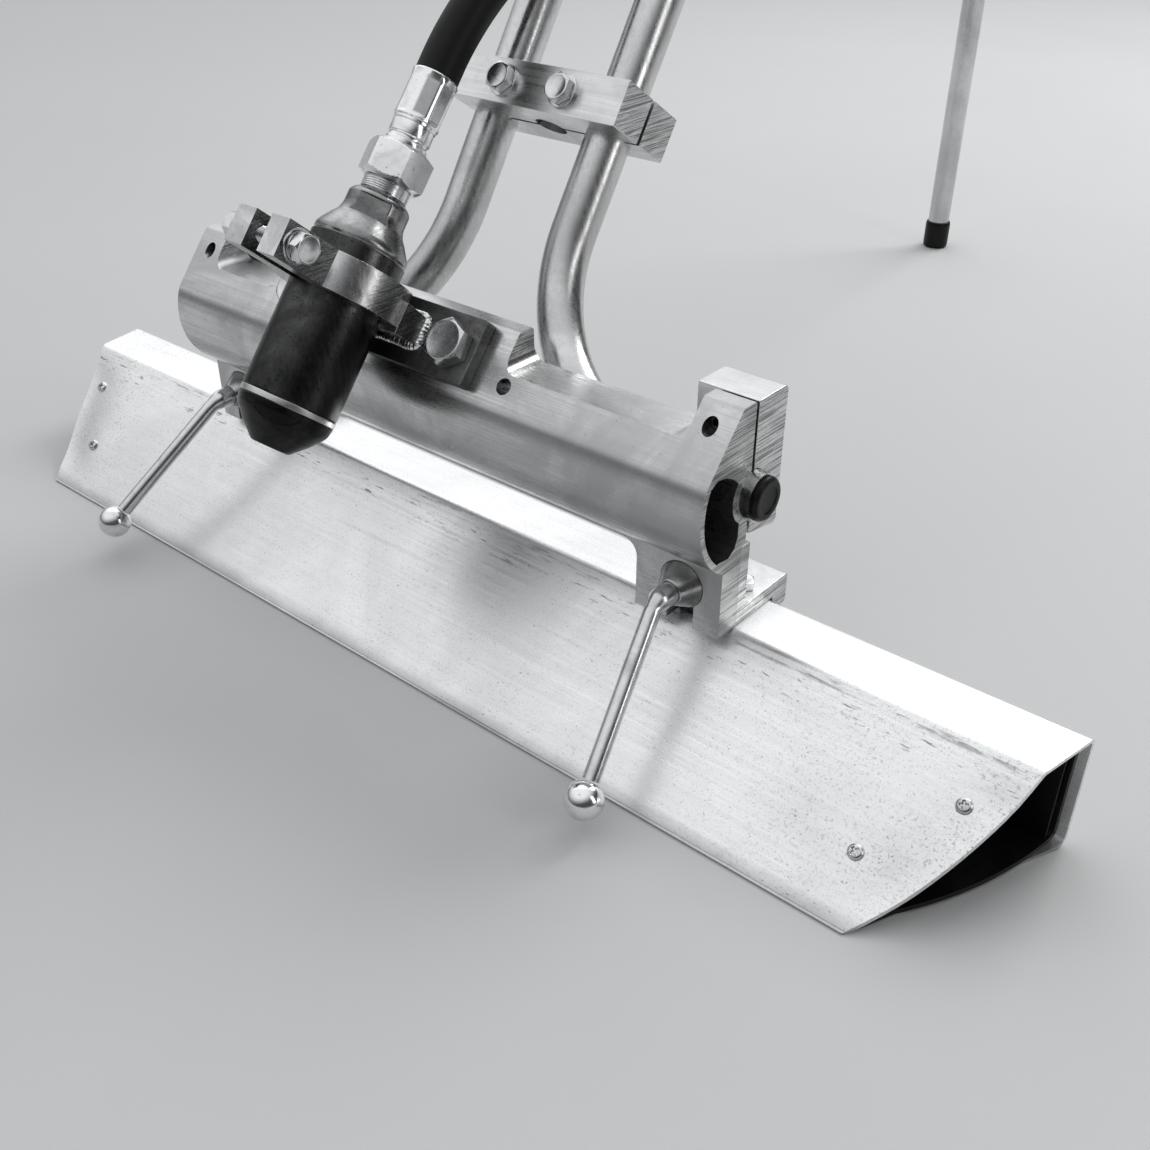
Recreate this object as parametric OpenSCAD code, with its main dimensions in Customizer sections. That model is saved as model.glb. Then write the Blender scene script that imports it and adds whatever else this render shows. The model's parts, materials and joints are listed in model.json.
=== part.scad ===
// Hand-held power screed: a closed aluminium screed board, a vibrator head that drops onto it,
// and a long twin-tube handle with a folding stand.
// Frame: X along the board, Y from the front edge to the operator, Z up.
// The origin is the centre of the board's sole, on the floor.

/* [Board] */
// Length of the screed board
board_l = 1000; // [900:10:1400]
// Depth of the sole, front to back
board_d = 162; // [150:1:175]
// Height of the board
board_h = 88.7; // [80:0.1:95]
// Depth of the flat top of the board
board_top_d = 50.6; // [45:0.1:55]
// Sheet thickness of the board
board_t = 3; // [2:0.5:4]
// Radius of the rounded board ends in plan
end_r = 294; // [280:2:310]

/* [Head beam] */
// Length of the vibrator head beam
beam_l = 537; // [520:1:560]
// Width of each leg, and of each board bracket
leg_w = 70; // [60:1:80]
// Height of the handle shaft above the floor
shaft_z = 190; // [188:0.5:192]
// Distance of the handle shaft behind the centre of the sole
shaft_y = 39.5; // [39:0.1:40]
// Width of each ear at the beam's ends
ear_w = 30; // [28:1:34]
// Width of the raised middle of the flange
pad_w = 244; // [220:1:250]
// Sideways place of the vibrator
vib_x = -37; // [-45:1:0]
// Forward lean of the flange and the vibrator, from vertical
vib_lean = 39.6; // [38:0.1:41]

/* [Vibrator] */
// Radius of the vibrator body
vib_r = 35; // [34:0.5:36]
// Distance from the flange to the vibrator's axis
vib_gap = 50.3; // [50:0.1:54]
// Radius of the air hose
hose_r = 16; // [13:0.5:16]

/* [Handle] */
// Outer radius of the handle tube
tube_r = 16.85; // [16.5:0.05:16.85]
// Wall thickness of the handle tube
tube_t = 2.9; // [2:0.1:3.5]
// Distance between the two upright tubes
tube_pitch = 108; // [106:1:112]
// Sideways place of the handle
handle_x = 6; // [0:1:6]
// Backward lean of the handle, from vertical
handle_lean = 33; // [30:1:36]
// Bend radius of the handle tubes, on the centre line
tube_bend_r = 130; // [128:1:132]
// Place of the upper bend along the leaning tubes
upper_s = 640; // [630:10:700]
// Angle of the upper bend
upper_bend = 49; // [47:0.5:51]
// Outward turn of each upper bend, which spreads the grips
grip_spread = 7; // [4:0.5:9]
// Length of the straight grip section
grip_run = 800; // [780:10:850]

/* [Levers] */
// Distance of each clamp lever from the centre
lever_x = 236.5; // [233:0.5:238]
// Height of the clamp lever screws
lever_z = 120; // [119:0.5:121]
// Outward splay of the left lever
splay_left = 21; // [0:1:25]
// Outward splay of the right lever
splay_right = 12; // [0:1:25]

/* [Stand] */
// Distance of the stand leg behind the centre of the sole
stand_y = 1108; // [1060:1:1110]
// Drop of the stand's pivot below the handle tube
stand_drop = 42; // [40:1:46]
// Radius of the stand tube
stand_r = 14; // [12:0.5:14]

/* [Hidden] */
$fn = 72;
eps = 0.01;
play = 0.05;
joint_gap = 0.3;
half_d = board_d / 2;
front_top_y = half_d - board_top_d;
slope = atan(board_h / (board_d - board_top_d));
slope_m = board_h / (board_d - board_top_d);
end_behind = 33;
end_y = half_d + end_behind;
end_x = board_l / 2 - sqrt(end_r * end_r - end_behind * end_behind);
plug_gap = 6;
plug_depth = 125;
plug_wall_in = 30;
plug_t = 4;
panel_screw_y = [0, -43];
panel_screw_inset = 22;
pan_r = 5.4;

bulge_r = 55.5;
leg_front = 13.6;
leg_back = 34;
beam_back = 38;
beam_top = 255.2;
flange_top_y = 23.7;
flange_h = 49;
notch_z = 232.5;
arch_z = 138;
cap_front = 41;
cap_back = 74;
cap_w = 46.5;
ear_screw_x = beam_l / 2 - 17;
ear_screw_z = 242;
low_screw_z = 166;
bracket_top = 152;
bracket_t = 10.5;
flange_t = 12.3;
hook_back = 99;
bracket_bolt_y = 63;
bracket_bolt_dx = 20;

ring_r = 47;
ring_z0 = -4;
ring_z1 = 22.5;
foot_half = 50;
foot_z0 = -9;
foot_z1 = 14;
foot_front = 15;
foot_drop = 2.5;
plate_w = 202;
plate_t = 10;
plate_bolt_dx = 80.5;
ear_gap = 16;
ear_t = 17.5;
ear_end = -86;
clamp_bolt_y = -73;
clamp_bolt_z = 9.5;
washer_t = 2.5;
spring_t = 3;
flat_dir = -53;
body_z0 = -82.4;
body_z1 = 35;
cap_ring_z0 = -87.3;
nut_z0 = 85;
nut_z1 = 112;
stem_z1 = 129;
ferrule_z1 = 166.5;
bearing_in = 12.5;

tie_w = 161;
tie_h = 32.5;
tie_half = 33;
tie_split = 1.5;
tie_s = 215;
upper_tie_s = 590;
tie_bolt_dx = 28;
tie_bore_r = 12.5;
nipple_s0 = 560;
valve_s0 = 640;
valve_s1 = 690;

// Left tube after its upper bend, in the leaning handle's frame, and then in the world's.
half_pitch = tube_pitch / 2;
grip_dir = [-sin(upper_bend) * sin(grip_spread), sin(upper_bend) * cos(grip_spread), cos(upper_bend)];
bend_end = [-half_pitch, 0, upper_s]
           + tube_bend_r * [-(1 - cos(upper_bend)) * sin(grip_spread),
                            (1 - cos(upper_bend)) * cos(grip_spread), sin(upper_bend)];
function upright(p) = [p[0], p[1] * cos(handle_lean) + p[2] * sin(handle_lean),
                       p[2] * cos(handle_lean) - p[1] * sin(handle_lean)];
grip_start = [handle_x, shaft_y, shaft_z] + upright(bend_end);
pivot_run = (stand_y - grip_start[1]) / upright(grip_dir)[1];
under_tube = grip_start + pivot_run * upright(grip_dir);
stand_x = under_tube[0];
pivot_z = under_tube[2] - stand_drop;
fork_gap = stand_r + 0.6;
fork_t = 5;
end_arc = 10;
grip_l = 130;

head_y = flange_top_y - 25.4 * sin(vib_lean) - vib_gap * cos(vib_lean);
head_z = beam_top - 25.4 * cos(vib_lean) + vib_gap * sin(vib_lean);

// Route of the air hose from the crimped ferrule on the vibrator to the one below the valve.
hose_route = [[-37, 74.95, 396.1], [-37, 87.7, 411.5], [-36.2, 101.7, 426.6], [-34.3, 119.5, 443.5],
              [-30.5, 141, 461.5], [-24.5, 166, 480.5], [-17.5, 192, 499.5], [-10.5, 218, 519],
              [-4, 243, 538.5], [1.2, 266.5, 557.5], [4.2, 286.5, 576.5], [5.6, 301.5, 594.5],
              [6, 312.27, 610.03], [6, 319.9, 621.77]];
hose_sides = 12;
hose_end_s = 515;

// ---- Outline helpers ----------------------------------------------------------------------

function unit(v) = v / norm(v);

// Points of a fillet of radius r at point b, between the sides to a and c.
function fillet(a, b, c, r, n = 6) =
    r <= 0 ? [b] :
    let (u = unit(a - b), v = unit(c - b), half = acos(u * v) / 2,
         mid = b + unit(u + v) * r / sin(half),
         p = b + u * r / tan(half) - mid, q = b + v * r / tan(half) - mid,
         a0 = atan2(p[1], p[0]), turn = atan2(p[0] * q[1] - p[1] * q[0], p * q))
    [for (i = [0 : n]) mid + r * [cos(a0 + turn * i / n), sin(a0 + turn * i / n)]];

// A closed outline with the radius rs[i] at each corner.
function rounded(pts, rs) =
    let (m = len(pts))
    [for (i = [0 : m - 1]) each fillet(pts[(i + m - 1) % m], pts[i], pts[(i + 1) % m], rs[i])];

// A closed anticlockwise outline moved inwards by t.
function inset(pts, t) =
    let (m = len(pts))
    [for (i = [0 : m - 1])
        let (u = unit(pts[i] - pts[(i + m - 1) % m]), v = unit(pts[(i + 1) % m] - pts[i]),
             nu = [-u[1], u[0]], nv = [-v[1], v[0]])
        pts[i] + unit(nu + nv) * t / (unit(nu + nv) * nu)];

function arc(c, r, a0, a1, n) =
    [for (i = [0 : n]) c + r * [cos(a0 + (a1 - a0) * i / n), sin(a0 + (a1 - a0) * i / n)]];

// ---- Placing helpers ----------------------------------------------------------------------

// Extrudes a (Y, Z) outline along X, from x0 to x1.
module along_x(x0, x1) {
    translate([x0, 0, 0]) rotate([90, 0, 90]) linear_extrude(x1 - x0) children();
}

// Extrudes an (X, Z) outline along Y, from y0 to y1.
module along_y(y0, y1) {
    translate([0, y1, 0]) rotate([90, 0, 0]) linear_extrude(y1 - y0) children();
}

module rod_x(x0, x1, r) {
    translate([x0, 0, 0]) rotate([0, 90, 0]) cylinder(r = r, h = x1 - x0);
}

module rod_y(y0, y1, r) {
    translate([0, y1, 0]) rotate([90, 0, 0]) cylinder(r = r, h = y1 - y0);
}

module rod_z(z0, z1, r) {
    translate([0, 0, z0]) cylinder(r = r, h = z1 - z0);
}

module hex_z(z0, z1, across) {
    translate([0, 0, z0]) cylinder(r = across / sqrt(3), h = z1 - z0, $fn = 6);
}

// Frame of the vibrator: Z up its axis, Y towards the flange, level with the flange's middle.
module head_frame() {
    translate([vib_x, head_y, head_z]) rotate([-vib_lean, 0, 0]) children();
}

// Frame of the leaning handle: Z up the tubes from the shaft, Y square to their plane.
module handle_frame() {
    translate([handle_x, shaft_y, shaft_z]) rotate([-handle_lean, 0, 0]) children();
}

// Frame of a grip section: Z along the tube from the end of its upper bend.
module grip_frame(side) {
    handle_frame() translate([side * half_pitch, 0, upper_s]) rotate([0, 0, -side * grip_spread])
        translate([0, tube_bend_r, 0]) rotate([-upper_bend, 0, 0]) translate([0, -tube_bend_r, 0]) children();
}

module both_sides() {
    for (side = [-1, 1]) scale([side, 1, 1]) children();
}

// ---- Board --------------------------------------------------------------------------------

board_outline = [[-half_d, 0], [half_d, 0], [half_d, board_h], [front_top_y, board_h]];

// Plan of the board with its rounded ends drawn in by d.
module board_plan(d) {
    box_x = end_x + 1;
    translate([-box_x, -100, -5]) cube([2 * box_x, 200, board_h + 10]);
    for (side = [-1, 1]) translate([side * end_x, end_y, -5])
        cylinder(r = end_r - d, h = board_h + 10, $fn = 180);
}

module board_shell() {
    color("#c9cbcc") difference() {
        intersection() {
            along_x(-board_l / 2, board_l / 2) polygon(rounded(board_outline, [0.8, 10, 6, 9]));
            board_plan(0);
        }
        along_x(-board_l / 2 - 1, board_l / 2 + 1)
            polygon(rounded(inset(board_outline, board_t), [0, 7, 3, 6]));
        panel_screws_at() rod_z(-12, 5, 2.6);
        bracket_bolts_at() rod_z(-10, 10, 5.2);
    }
}

// The pan head screws that hold the end plugs: two on the sloping panel, one on the back wall.
module panel_screws_at() {
    for (side = [-1, 1]) {
        for (y = panel_screw_y)
            translate([side * (end_x + sqrt(end_r * end_r - pow(y - end_y, 2)) - panel_screw_inset
                               - (y < -20 ? 21 : 0)), y, (y + half_d) * slope_m])
                rotate([slope, 0, 0]) children();
        translate([side * 474, half_d, board_h / 2]) rotate([-90, 0, 0]) children();
    }
}

module plug_hollow() {
    along_x(board_l / 2 - plug_depth - 1, board_l / 2 + 1)
        polygon(rounded(inset(board_outline, board_t + plug_t), [1, 5, 2, 4]));
}

// A cap set inside the board's end: a skirt against the sheet, and an end wall deep inside it.
module end_plug() {
    color("#17181a") difference() {
        intersection() {
            along_x(board_l / 2 - plug_depth, board_l / 2)
                polygon(rounded(inset(board_outline, board_t + 0.1), [0.5, 7, 3, 6]));
            board_plan(plug_gap);
        }
        difference() {
            plug_hollow();
            board_plan(plug_wall_in);
        }
        intersection() {
            plug_hollow();
            board_plan(plug_wall_in + plug_t);
        }
        panel_screws_at() rod_z(-12, 5, 2.4);
    }
}

module end_plug_left() {
    mirror([1, 0, 0]) end_plug();
}

module end_plug_right() {
    end_plug();
}

module end_plug_screws() {
    color("#b9bcbe") panel_screws_at() difference() {
        union() {
            rotate_extrude() polygon([[0, 0], [pan_r, 0], [pan_r, 1.2], [4.6, 2.6], [3, 3.2], [0, 3.3]]);
            rod_z(-9, eps, 2.4);
        }
        for (turn = [0, 90]) rotate([0, 0, turn]) translate([-2.6, -0.55, 1.4]) cube([5.2, 1.1, 3]);
    }
}

// ---- Board brackets -----------------------------------------------------------------------

bracket_outline = [[leg_back, board_h], [half_d + 0.4, board_h], [half_d + 0.4, 77], [hook_back, 77],
                   [hook_back, board_h + flange_t], [leg_back + bracket_t, board_h + flange_t],
                   [leg_back + bracket_t, bracket_top], [leg_back, bracket_top]];

module bracket() {
    color("#bfc1c2") difference() {
        along_x(beam_l / 2 - leg_w, beam_l / 2)
            polygon(rounded(bracket_outline, [0, 0, 1.5, 3, 3, 5, 1.5, 1.5]));
        translate([lever_x, 0, lever_z]) rod_y(leg_back - 1, leg_back + bracket_t + 1, screw_r + play);
        bracket_bolts_at() rod_z(-5, 20, 5.2);
    }
}

module bracket_bolts_at() {
    for (side = [-1, 1], dx = [-bracket_bolt_dx, bracket_bolt_dx])
        translate([side * (beam_l / 2 - leg_w / 2 + dx), bracket_bolt_y, board_h]) children();
}

module bracket_left() {
    mirror([1, 0, 0]) bracket();
}

module bracket_right() {
    bracket();
}

module hex_bolt(across, head_h, shank_r, shank_l) {
    intersection() {
        hex_z(0, head_h, across);
        translate([0, 0, -1]) cylinder(r1 = across * 0.62 + 1.5, r2 = across * 0.49, h = head_h + 1);
    }
    rod_z(-shank_l, eps, shank_r);
}

module bracket_bolts() {
    color("#a9acad") bracket_bolts_at() translate([0, 0, flange_t]) hex_bolt(16, 6.4, 5, 22);
}

// Flanged rivet nuts set in the board's top from below.
module bracket_nuts() {
    color("#9a9d9e") bracket_bolts_at() difference() {
        union() {
            rod_z(-board_t - 12, -board_t, 7);
            rod_z(-board_t - 2, -board_t, 9.5);
        }
        rod_z(-30, 5, 5);
    }
}

// ---- Head beam ----------------------------------------------------------------------------

shaft_at = [shaft_y, shaft_z];

// Section of the beam: a leg, a round belly about the shaft, and a leaning flange.
module beam_outline() {
    foot = board_h;
    flange_foot_y = leg_front - 16;
    difference() {
        union() {
            intersection() {
                translate(shaft_at) circle(r = bulge_r, $fn = 120);
                polygon([[-25, 120], [leg_back, 120], [leg_back, 153], [beam_back, 155],
                         [beam_back, beam_top], [flange_top_y, beam_top],
                         [flange_top_y - 90 * sin(vib_lean), beam_top - 90 * cos(vib_lean)]]);
            }
            polygon([[leg_front, foot], [leg_back, foot], [leg_back, 153], [beam_back, 155],
                     [beam_back, beam_top - 1.5], [beam_back - 1.5, beam_top],
                     [flange_top_y + 1, beam_top], [flange_top_y - 0.6, beam_top - 1.2],
                     [flange_foot_y, beam_top - (flange_top_y - flange_foot_y) / tan(vib_lean)],
                     [leg_front, shaft_z]]);
        }
        translate(shaft_at) circle(r = tube_r + play);
        hollow = concat(arc(shaft_at, bulge_r - 4.5, 155, 229, 14),
                        [[7.7, 152.1], [18.2, 150.7], [25.1, 155], [28, 162.4]],
                        arc(shaft_at, tube_r + 3.65, 236, 139, 12), [[18, 209], [8.9, 213.7], [-0.1, 215.1]]);
        polygon(hollow);
    }
}

// Cut-outs seen from the front: the arch between the legs, the two notches in the flange,
// and the open slot in each leg for its lever screw.
module beam_cutouts() {
    arch = beam_l / 2 - leg_w;
    ear_x = beam_l / 2 - ear_w;
    along_y(-40, 60) {
        polygon(rounded([[-arch, 60], [arch, 60], [arch, arch_z], [-arch, arch_z]], [0, 0, 12, 12]));
        polygon(rounded([[vib_x + pad_w / 2, notch_z], [ear_x, notch_z], [ear_x, 280],
                         [vib_x + pad_w / 2, 280]], [10, 10, 0, 0]));
        polygon(rounded([[-ear_x, notch_z], [vib_x - pad_w / 2, notch_z], [vib_x - pad_w / 2, 280],
                         [-ear_x, 280]], [10, 10, 0, 0]));
    }
    for (side = [-1, 1]) translate([side * lever_x, 0, lever_z]) {
        rod_y(0, 60, 11);
        translate([-11, 0, -60]) cube([22, 60, 60]);
        rod_y(0, leg_front + seat_depth, seat_r);
    }
}

// Room behind the flange for the bent ends of the handle tubes, up to the steepest handle.
module tube_relief() {
    reach = handle_x + half_pitch + tube_bend_r + 22;
    relief_lean = 21;
    gap_r = tube_r + 0.8;
    tip = shaft_at + gap_r * [-cos(relief_lean), sin(relief_lean)];
    along_x(-reach, reach) {
        translate(shaft_at) circle(r = gap_r);
        polygon([shaft_at, tip, tip + 45 * [sin(relief_lean), cos(relief_lean)], [70, 240], [70, shaft_z]]);
    }
}

module head_beam() {
    color("#cfd1d2") difference() {
        along_x(-beam_l / 2, beam_l / 2) beam_outline();
        beam_cutouts();
        tube_relief();
        for (side = [-1, 1]) {
            translate([side * ear_screw_x, 0, ear_screw_z]) {
                rod_y(0, 60, 3.3);
                rod_y(0, 26, 5.3);
            }
            translate([side * ear_screw_x, 0, low_screw_z]) rod_y(30.5, 60, 3);
        }
        head_frame() {
            for (dx = [-1, 1]) translate([dx * plate_bolt_dx, 0, 0]) rod_y(0, vib_gap + 21, 10);
            translate([128.3, 0, -12.9]) rod_y(0, vib_gap + 16, 6);
        }
    }
}

module shaft_cap() {
    outline = [[cap_front, 159.5], [cap_back, 154], [cap_back, 254.5], [cap_front, 254.5]];
    color("#c4c6c7") difference() {
        along_x(beam_l / 2 - cap_w, beam_l / 2) polygon(rounded(outline, [1, 4, 4, 1]));
        along_x(0, beam_l) translate(shaft_at) circle(r = tube_r + play);
        translate([ear_screw_x, 0, ear_screw_z]) rod_y(30, 60, 3);
        translate([ear_screw_x, 0, low_screw_z]) {
            rod_y(30, 90, 3.3);
            rod_y(62, 90, 5.3);
        }
    }
}

module shaft_cap_left() {
    mirror([1, 0, 0]) shaft_cap();
}

module shaft_cap_right() {
    shaft_cap();
}

// Socket head screw along Y, head at y = 0, shank towards +Y.
module socket_screw(shank_l) {
    difference() {
        union() {
            rod_y(-6, 0, 5);
            rod_y(-eps, shank_l, 3);
        }
        translate([0, -3, 0]) rotate([90, 0, 0]) cylinder(r = 2.9, h = 4, $fn = 6);
    }
}

module cap_screws() {
    color("#3b3d40") for (side = [-1, 1]) {
        translate([side * ear_screw_x, 26, ear_screw_z]) socket_screw(32);
        translate([side * ear_screw_x, 62, low_screw_z]) rotate([0, 0, 180]) socket_screw(31);
    }
}

// ---- Vibrator mount -----------------------------------------------------------------------

module mount_plate() {
    color("#6d6c69") head_frame() difference() {
        along_y(vib_gap - plate_t, vib_gap) polygon(rounded(
            [[-plate_w / 2, -flange_h / 2], [plate_w / 2, -flange_h / 2],
             [plate_w / 2, flange_h / 2], [-plate_w / 2, flange_h / 2]], [3, 3, 3, 3]));
        for (dx = [-1, 1]) translate([dx * plate_bolt_dx, 0, 0]) rod_y(0, 80, 10.5);
    }
}

module plate_bolts() {
    color("#a3a5a6") head_frame() for (dx = [-1, 1])
        translate([dx * plate_bolt_dx, vib_gap - plate_t, 0]) rotate([90, 0, 0])
            rotate([0, 0, 35]) hex_bolt(30, 12.5, 10, plate_t + 20);
}

// The foot that the ring stands on, against the plate.
module saddle_foot() {
    along_x(-foot_half, foot_half) polygon([[foot_front, foot_z0], [vib_gap - 5, foot_z0],
                                            [vib_gap - 5, foot_z1 - 3], [foot_front, foot_z1]]);
}

module saddle_ring() {
    translate([0, 0, ring_z0]) linear_extrude(ring_z1 - ring_z0) {
        circle(r = ring_r, $fn = 120);
        translate([-ear_gap / 2 - ear_t, ear_end]) square([ear_gap + 2 * ear_t, -ear_end]);
    }
}

module saddle_clamp() {
    color("#83837f") head_frame() difference() {
        union() {
            saddle_ring();
            saddle_foot();
        }
        translate([-60, vib_gap - plate_t, -20]) cube([120, 30, 60]);
        translate([-ear_gap / 2, ear_end - 1, -20]) cube([ear_gap, -ear_end, 60]);
        translate([0, 0, -20]) cylinder(r = vib_r, h = 60, $fn = 120);
        translate([0, clamp_bolt_y, clamp_bolt_z]) rod_x(-40, 40, 6.4);
    }
}

// Weld beads along the edges where the saddle's foot meets the plate.
module saddle_welds() {
    y = vib_gap - plate_t;
    color("#7b7772") head_frame() difference() {
        translate([0, y, 0]) union() {
            for (z = [foot_z0, foot_z1 - foot_drop]) translate([0, 0, z]) rod_x(-foot_half - 3, foot_half + 3, 4);
            for (side = [-1, 1]) translate([side * foot_half, 0, 0])
                rod_z(foot_z0 - 3, foot_z1 - foot_drop + 3, 4);
        }
        translate([-80, y, -30]) cube([160, 20, 70]);
        saddle_foot();
        saddle_ring();
    }
}

module clamp_bolt_at() {
    head_frame() translate([0, clamp_bolt_y, clamp_bolt_z]) rotate([0, 90, 0]) children();
}

module clamp_bolt() {
    color("#a3a5a6") clamp_bolt_at()
        translate([0, 0, ear_gap / 2 + ear_t + washer_t + spring_t]) hex_bolt(19, 7.5, 6, 71);
}

// A flat washer on each ear, and a spring washer under the bolt's head.
module clamp_washers() {
    ear_face = ear_gap / 2 + ear_t;
    color("#b4b6b7") clamp_bolt_at() difference() {
        union() {
            rod_z(-ear_face - washer_t, -ear_face, 12);
            rod_z(ear_face, ear_face + washer_t, 12);
            rod_z(ear_face + washer_t, ear_face + washer_t + spring_t, 10.5);
        }
        rod_z(-60, 60, 6.5);
    }
}

module clamp_nut() {
    color("#a3a5a6") clamp_bolt_at() translate([0, 0, -ear_gap / 2 - ear_t - washer_t - 10.5]) difference() {
        hex_z(0, 10.5, 19);
        rod_z(-1, 12, 6);
    }
}

// ---- Vibrator -----------------------------------------------------------------------------

module vibrator_body() {
    color("#4b4945") head_frame() difference() {
        rod_z(body_z0, body_z1, vib_r);
        rod_z(body_z0 - 1, body_z1 + 1, 27);
    }
}

module vibrator_cap() {
    top = cap_ring_z0;
    color("#3f3d3a") head_frame() difference() {
        rotate_extrude() polygon([[0, -116.5], [14, -116.5], [24.6, -106], [31.6, -97.5],
                                  [33.6, -94], [vib_r, top], [27, top], [27, body_z0], [0, body_z0]]);
        for (turn = [0, 180]) rotate([0, 0, flat_dir + turn]) translate([29.5, -30, -125]) cube([20, 60, 34]);
    }
}

module cap_ring() {
    color("#8d8a85") head_frame() difference() {
        rod_z(cap_ring_z0, body_z0, vib_r);
        rod_z(cap_ring_z0 - 1, body_z0 + 1, 27);
    }
}

module back_head() {
    color("#5a5853") head_frame() difference() {
        rotate_extrude() polygon([[8, body_z1], [33.6, body_z1], [33.6, 36.2], [34.6, 37.5], [34.4, 40],
                                  [33, 43], [28, 50.5], [24.6, 55], [23.2, 59], [22.8, 62], [22.8, 70],
                                  [21.5, 72.5], [18.5, 75], [8, 75]]);
        for (turn = [0, 180]) rotate([0, 0, flat_dir + turn]) translate([19.5, -20, 55.5]) cube([20, 40, 14]);
    }
}

// Liner of the air motor: its bore stands off centre, so the vanes sweep a crescent.
module motor_liner() {
    color("#8f9296") head_frame() difference() {
        rod_z(5, 29, 27);
        translate([3, 0, 0]) rod_z(4, 30, 22.5);
    }
}

module motor_plate() {
    color("#8f9296") head_frame() difference() {
        rod_z(30, body_z1, 27);
        rod_z(29, 36, 8);
    }
}

module bearings() {
    color("#b0b3b6") head_frame() for (z = [-78, -10]) difference() {
        rod_z(z, z + 14, 27);
        rod_z(z - 1, z + 15, bearing_in);
    }
}

module eccentric_rotor() {
    color("#77797c") head_frame() difference() {
        union() {
            rod_z(-80, 6, bearing_in - play);
            rod_z(6, 28, 18);
            difference() {
                rod_z(-60, -14, 24);
                translate([-30, 3, -61]) cube([60, 40, 48]);
            }
        }
        for (turn = [0 : 72 : 359]) rotate([0, 0, turn]) translate([8, -1, 7]) cube([12, 2, 30]);
    }
}

module inlet_adapter() {
    color("#6f6d69") head_frame() difference() {
        union() {
            rod_z(75, nut_z0 + 10, 15.8);
            for (z = [76.5 : 2.5 : 82]) rod_z(z, z + 1.2, 17.4);
        }
        rod_z(70, 100, 8);
    }
}

module swivel_nut() {
    color("#c3c5c4") head_frame() difference() {
        intersection() {
            hex_z(nut_z0, nut_z1, 43);
            rotate_extrude() polygon([[0, nut_z0], [20.5, nut_z0], [25, nut_z0 + 4], [25, nut_z1 - 4],
                                      [20.5, nut_z1], [0, nut_z1]]);
        }
        rod_z(nut_z0 - 1, nut_z0 + 10, 16);
        rod_z(nut_z0, nut_z1 + 1, 12);
    }
}

module hose_stem() {
    color("#c3c5c4") head_frame() difference() {
        union() {
            rod_z(nut_z0 + 10, nut_z1, 12);
            rod_z(nut_z1, stem_z1, 15.6);
        }
        rod_z(nut_z0, stem_z1 + 1, 8);
    }
}

module ferrule_shape(l) {
    difference() {
        union() {
            cylinder(r = 16, h = l);
            translate([0, 0, 2]) intersection() {
                cylinder(r = 17.3, h = l - 4, $fn = 8);
                cylinder(r = 16.9, h = l - 4);
            }
            translate([0, 0, l - 2]) cylinder(r = 17.1, h = 2);
        }
        translate([0, 0, -1]) cylinder(r = 8, h = l + 2);
    }
}

module hose_ferrule() {
    color("#bcbebd") head_frame() translate([0, 0, stem_z1]) ferrule_shape(ferrule_z1 - stem_z1);
}

// A round tube swept along a route of points, closed at both ends.
module sweep(route, r, sides) {
    n = len(route);
    side_dir = [1, 0, 0];
    function along(i) = unit(route[min(i + 1, n - 1)] - route[max(i - 1, 0)]);
    function ring(i) =
        let (t = along(i), a = unit(side_dir - (side_dir * t) * t), b = cross(t, a))
        [for (k = [0 : sides - 1]) route[i] + r * (cos(k * 360 / sides) * a + sin(k * 360 / sides) * b)];
    points = [for (i = [0 : n - 1]) each ring(i)];
    walls = [for (i = [0 : n - 2], k = [0 : sides - 1])
        [i * sides + k, (i + 1) * sides + k, (i + 1) * sides + (k + 1) % sides, i * sides + (k + 1) % sides]];
    foot = [for (k = [0 : sides - 1]) k];
    head = [for (k = [sides - 1 : -1 : 0]) (n - 1) * sides + k];
    polyhedron(points = points, faces = concat([foot, head], walls), convexity = 4);
}

module air_hose() {
    color("#141517") sweep(hose_route, hose_r, hose_sides);
}

// ---- Clamp levers -------------------------------------------------------------------------

// Frame of a lever: Z out of the front of the leg, X up, on the screw's axis.
module lever_frame(side, splay) {
    translate([side * lever_x, leg_front, lever_z]) rotate([90, 0, 0])
        rotate([0, 0, -90 + side * splay]) children();
}

screw_r = 8;
hub_z = 14;
seat_r = 17.6;
seat_depth = 5;
lever_a = 19.4;
lever_bend = 22;
lever_turn = 45;
lever_run = 127;

// Screw, hub and bent rod; the rod turns from the screw's axis down along the board.
module lever_shape() {
    rod_z(-32, hub_z, screw_r);
    rod_z(hub_z, lever_a + 0.05, 8.6);
    lever_tip_frame() {
        rod_z(0, lever_run - 10, 6);
        translate([lever_bend, 0, 0]) rotate([-90, 0, 180]) rotate_extrude(angle = lever_turn)
            translate([lever_bend, 0]) circle(r = 6);
    }
}

// Frame at the end of the lever's bend, Z along the straight rod.
module lever_tip_frame() {
    translate([lever_bend * (1 - cos(lever_turn)), 0, lever_a + lever_bend * sin(lever_turn)])
        rotate([0, lever_turn, 0]) children();
}

module lever_left() {
    color("#8e9193") lever_frame(-1, splay_left) lever_shape();
}

module lever_right() {
    color("#8e9193") lever_frame(1, splay_right) lever_shape();
}

module knob_shape() {
    lever_tip_frame() translate([0, 0, lever_run]) difference() {
        sphere(r = 13.5);
        rod_z(-20, -10, 6);
    }
}

module lever_knob_left() {
    color("#b7b9ba") lever_frame(-1, splay_left) knob_shape();
}

module lever_knob_right() {
    color("#b7b9ba") lever_frame(1, splay_right) knob_shape();
}

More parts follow.
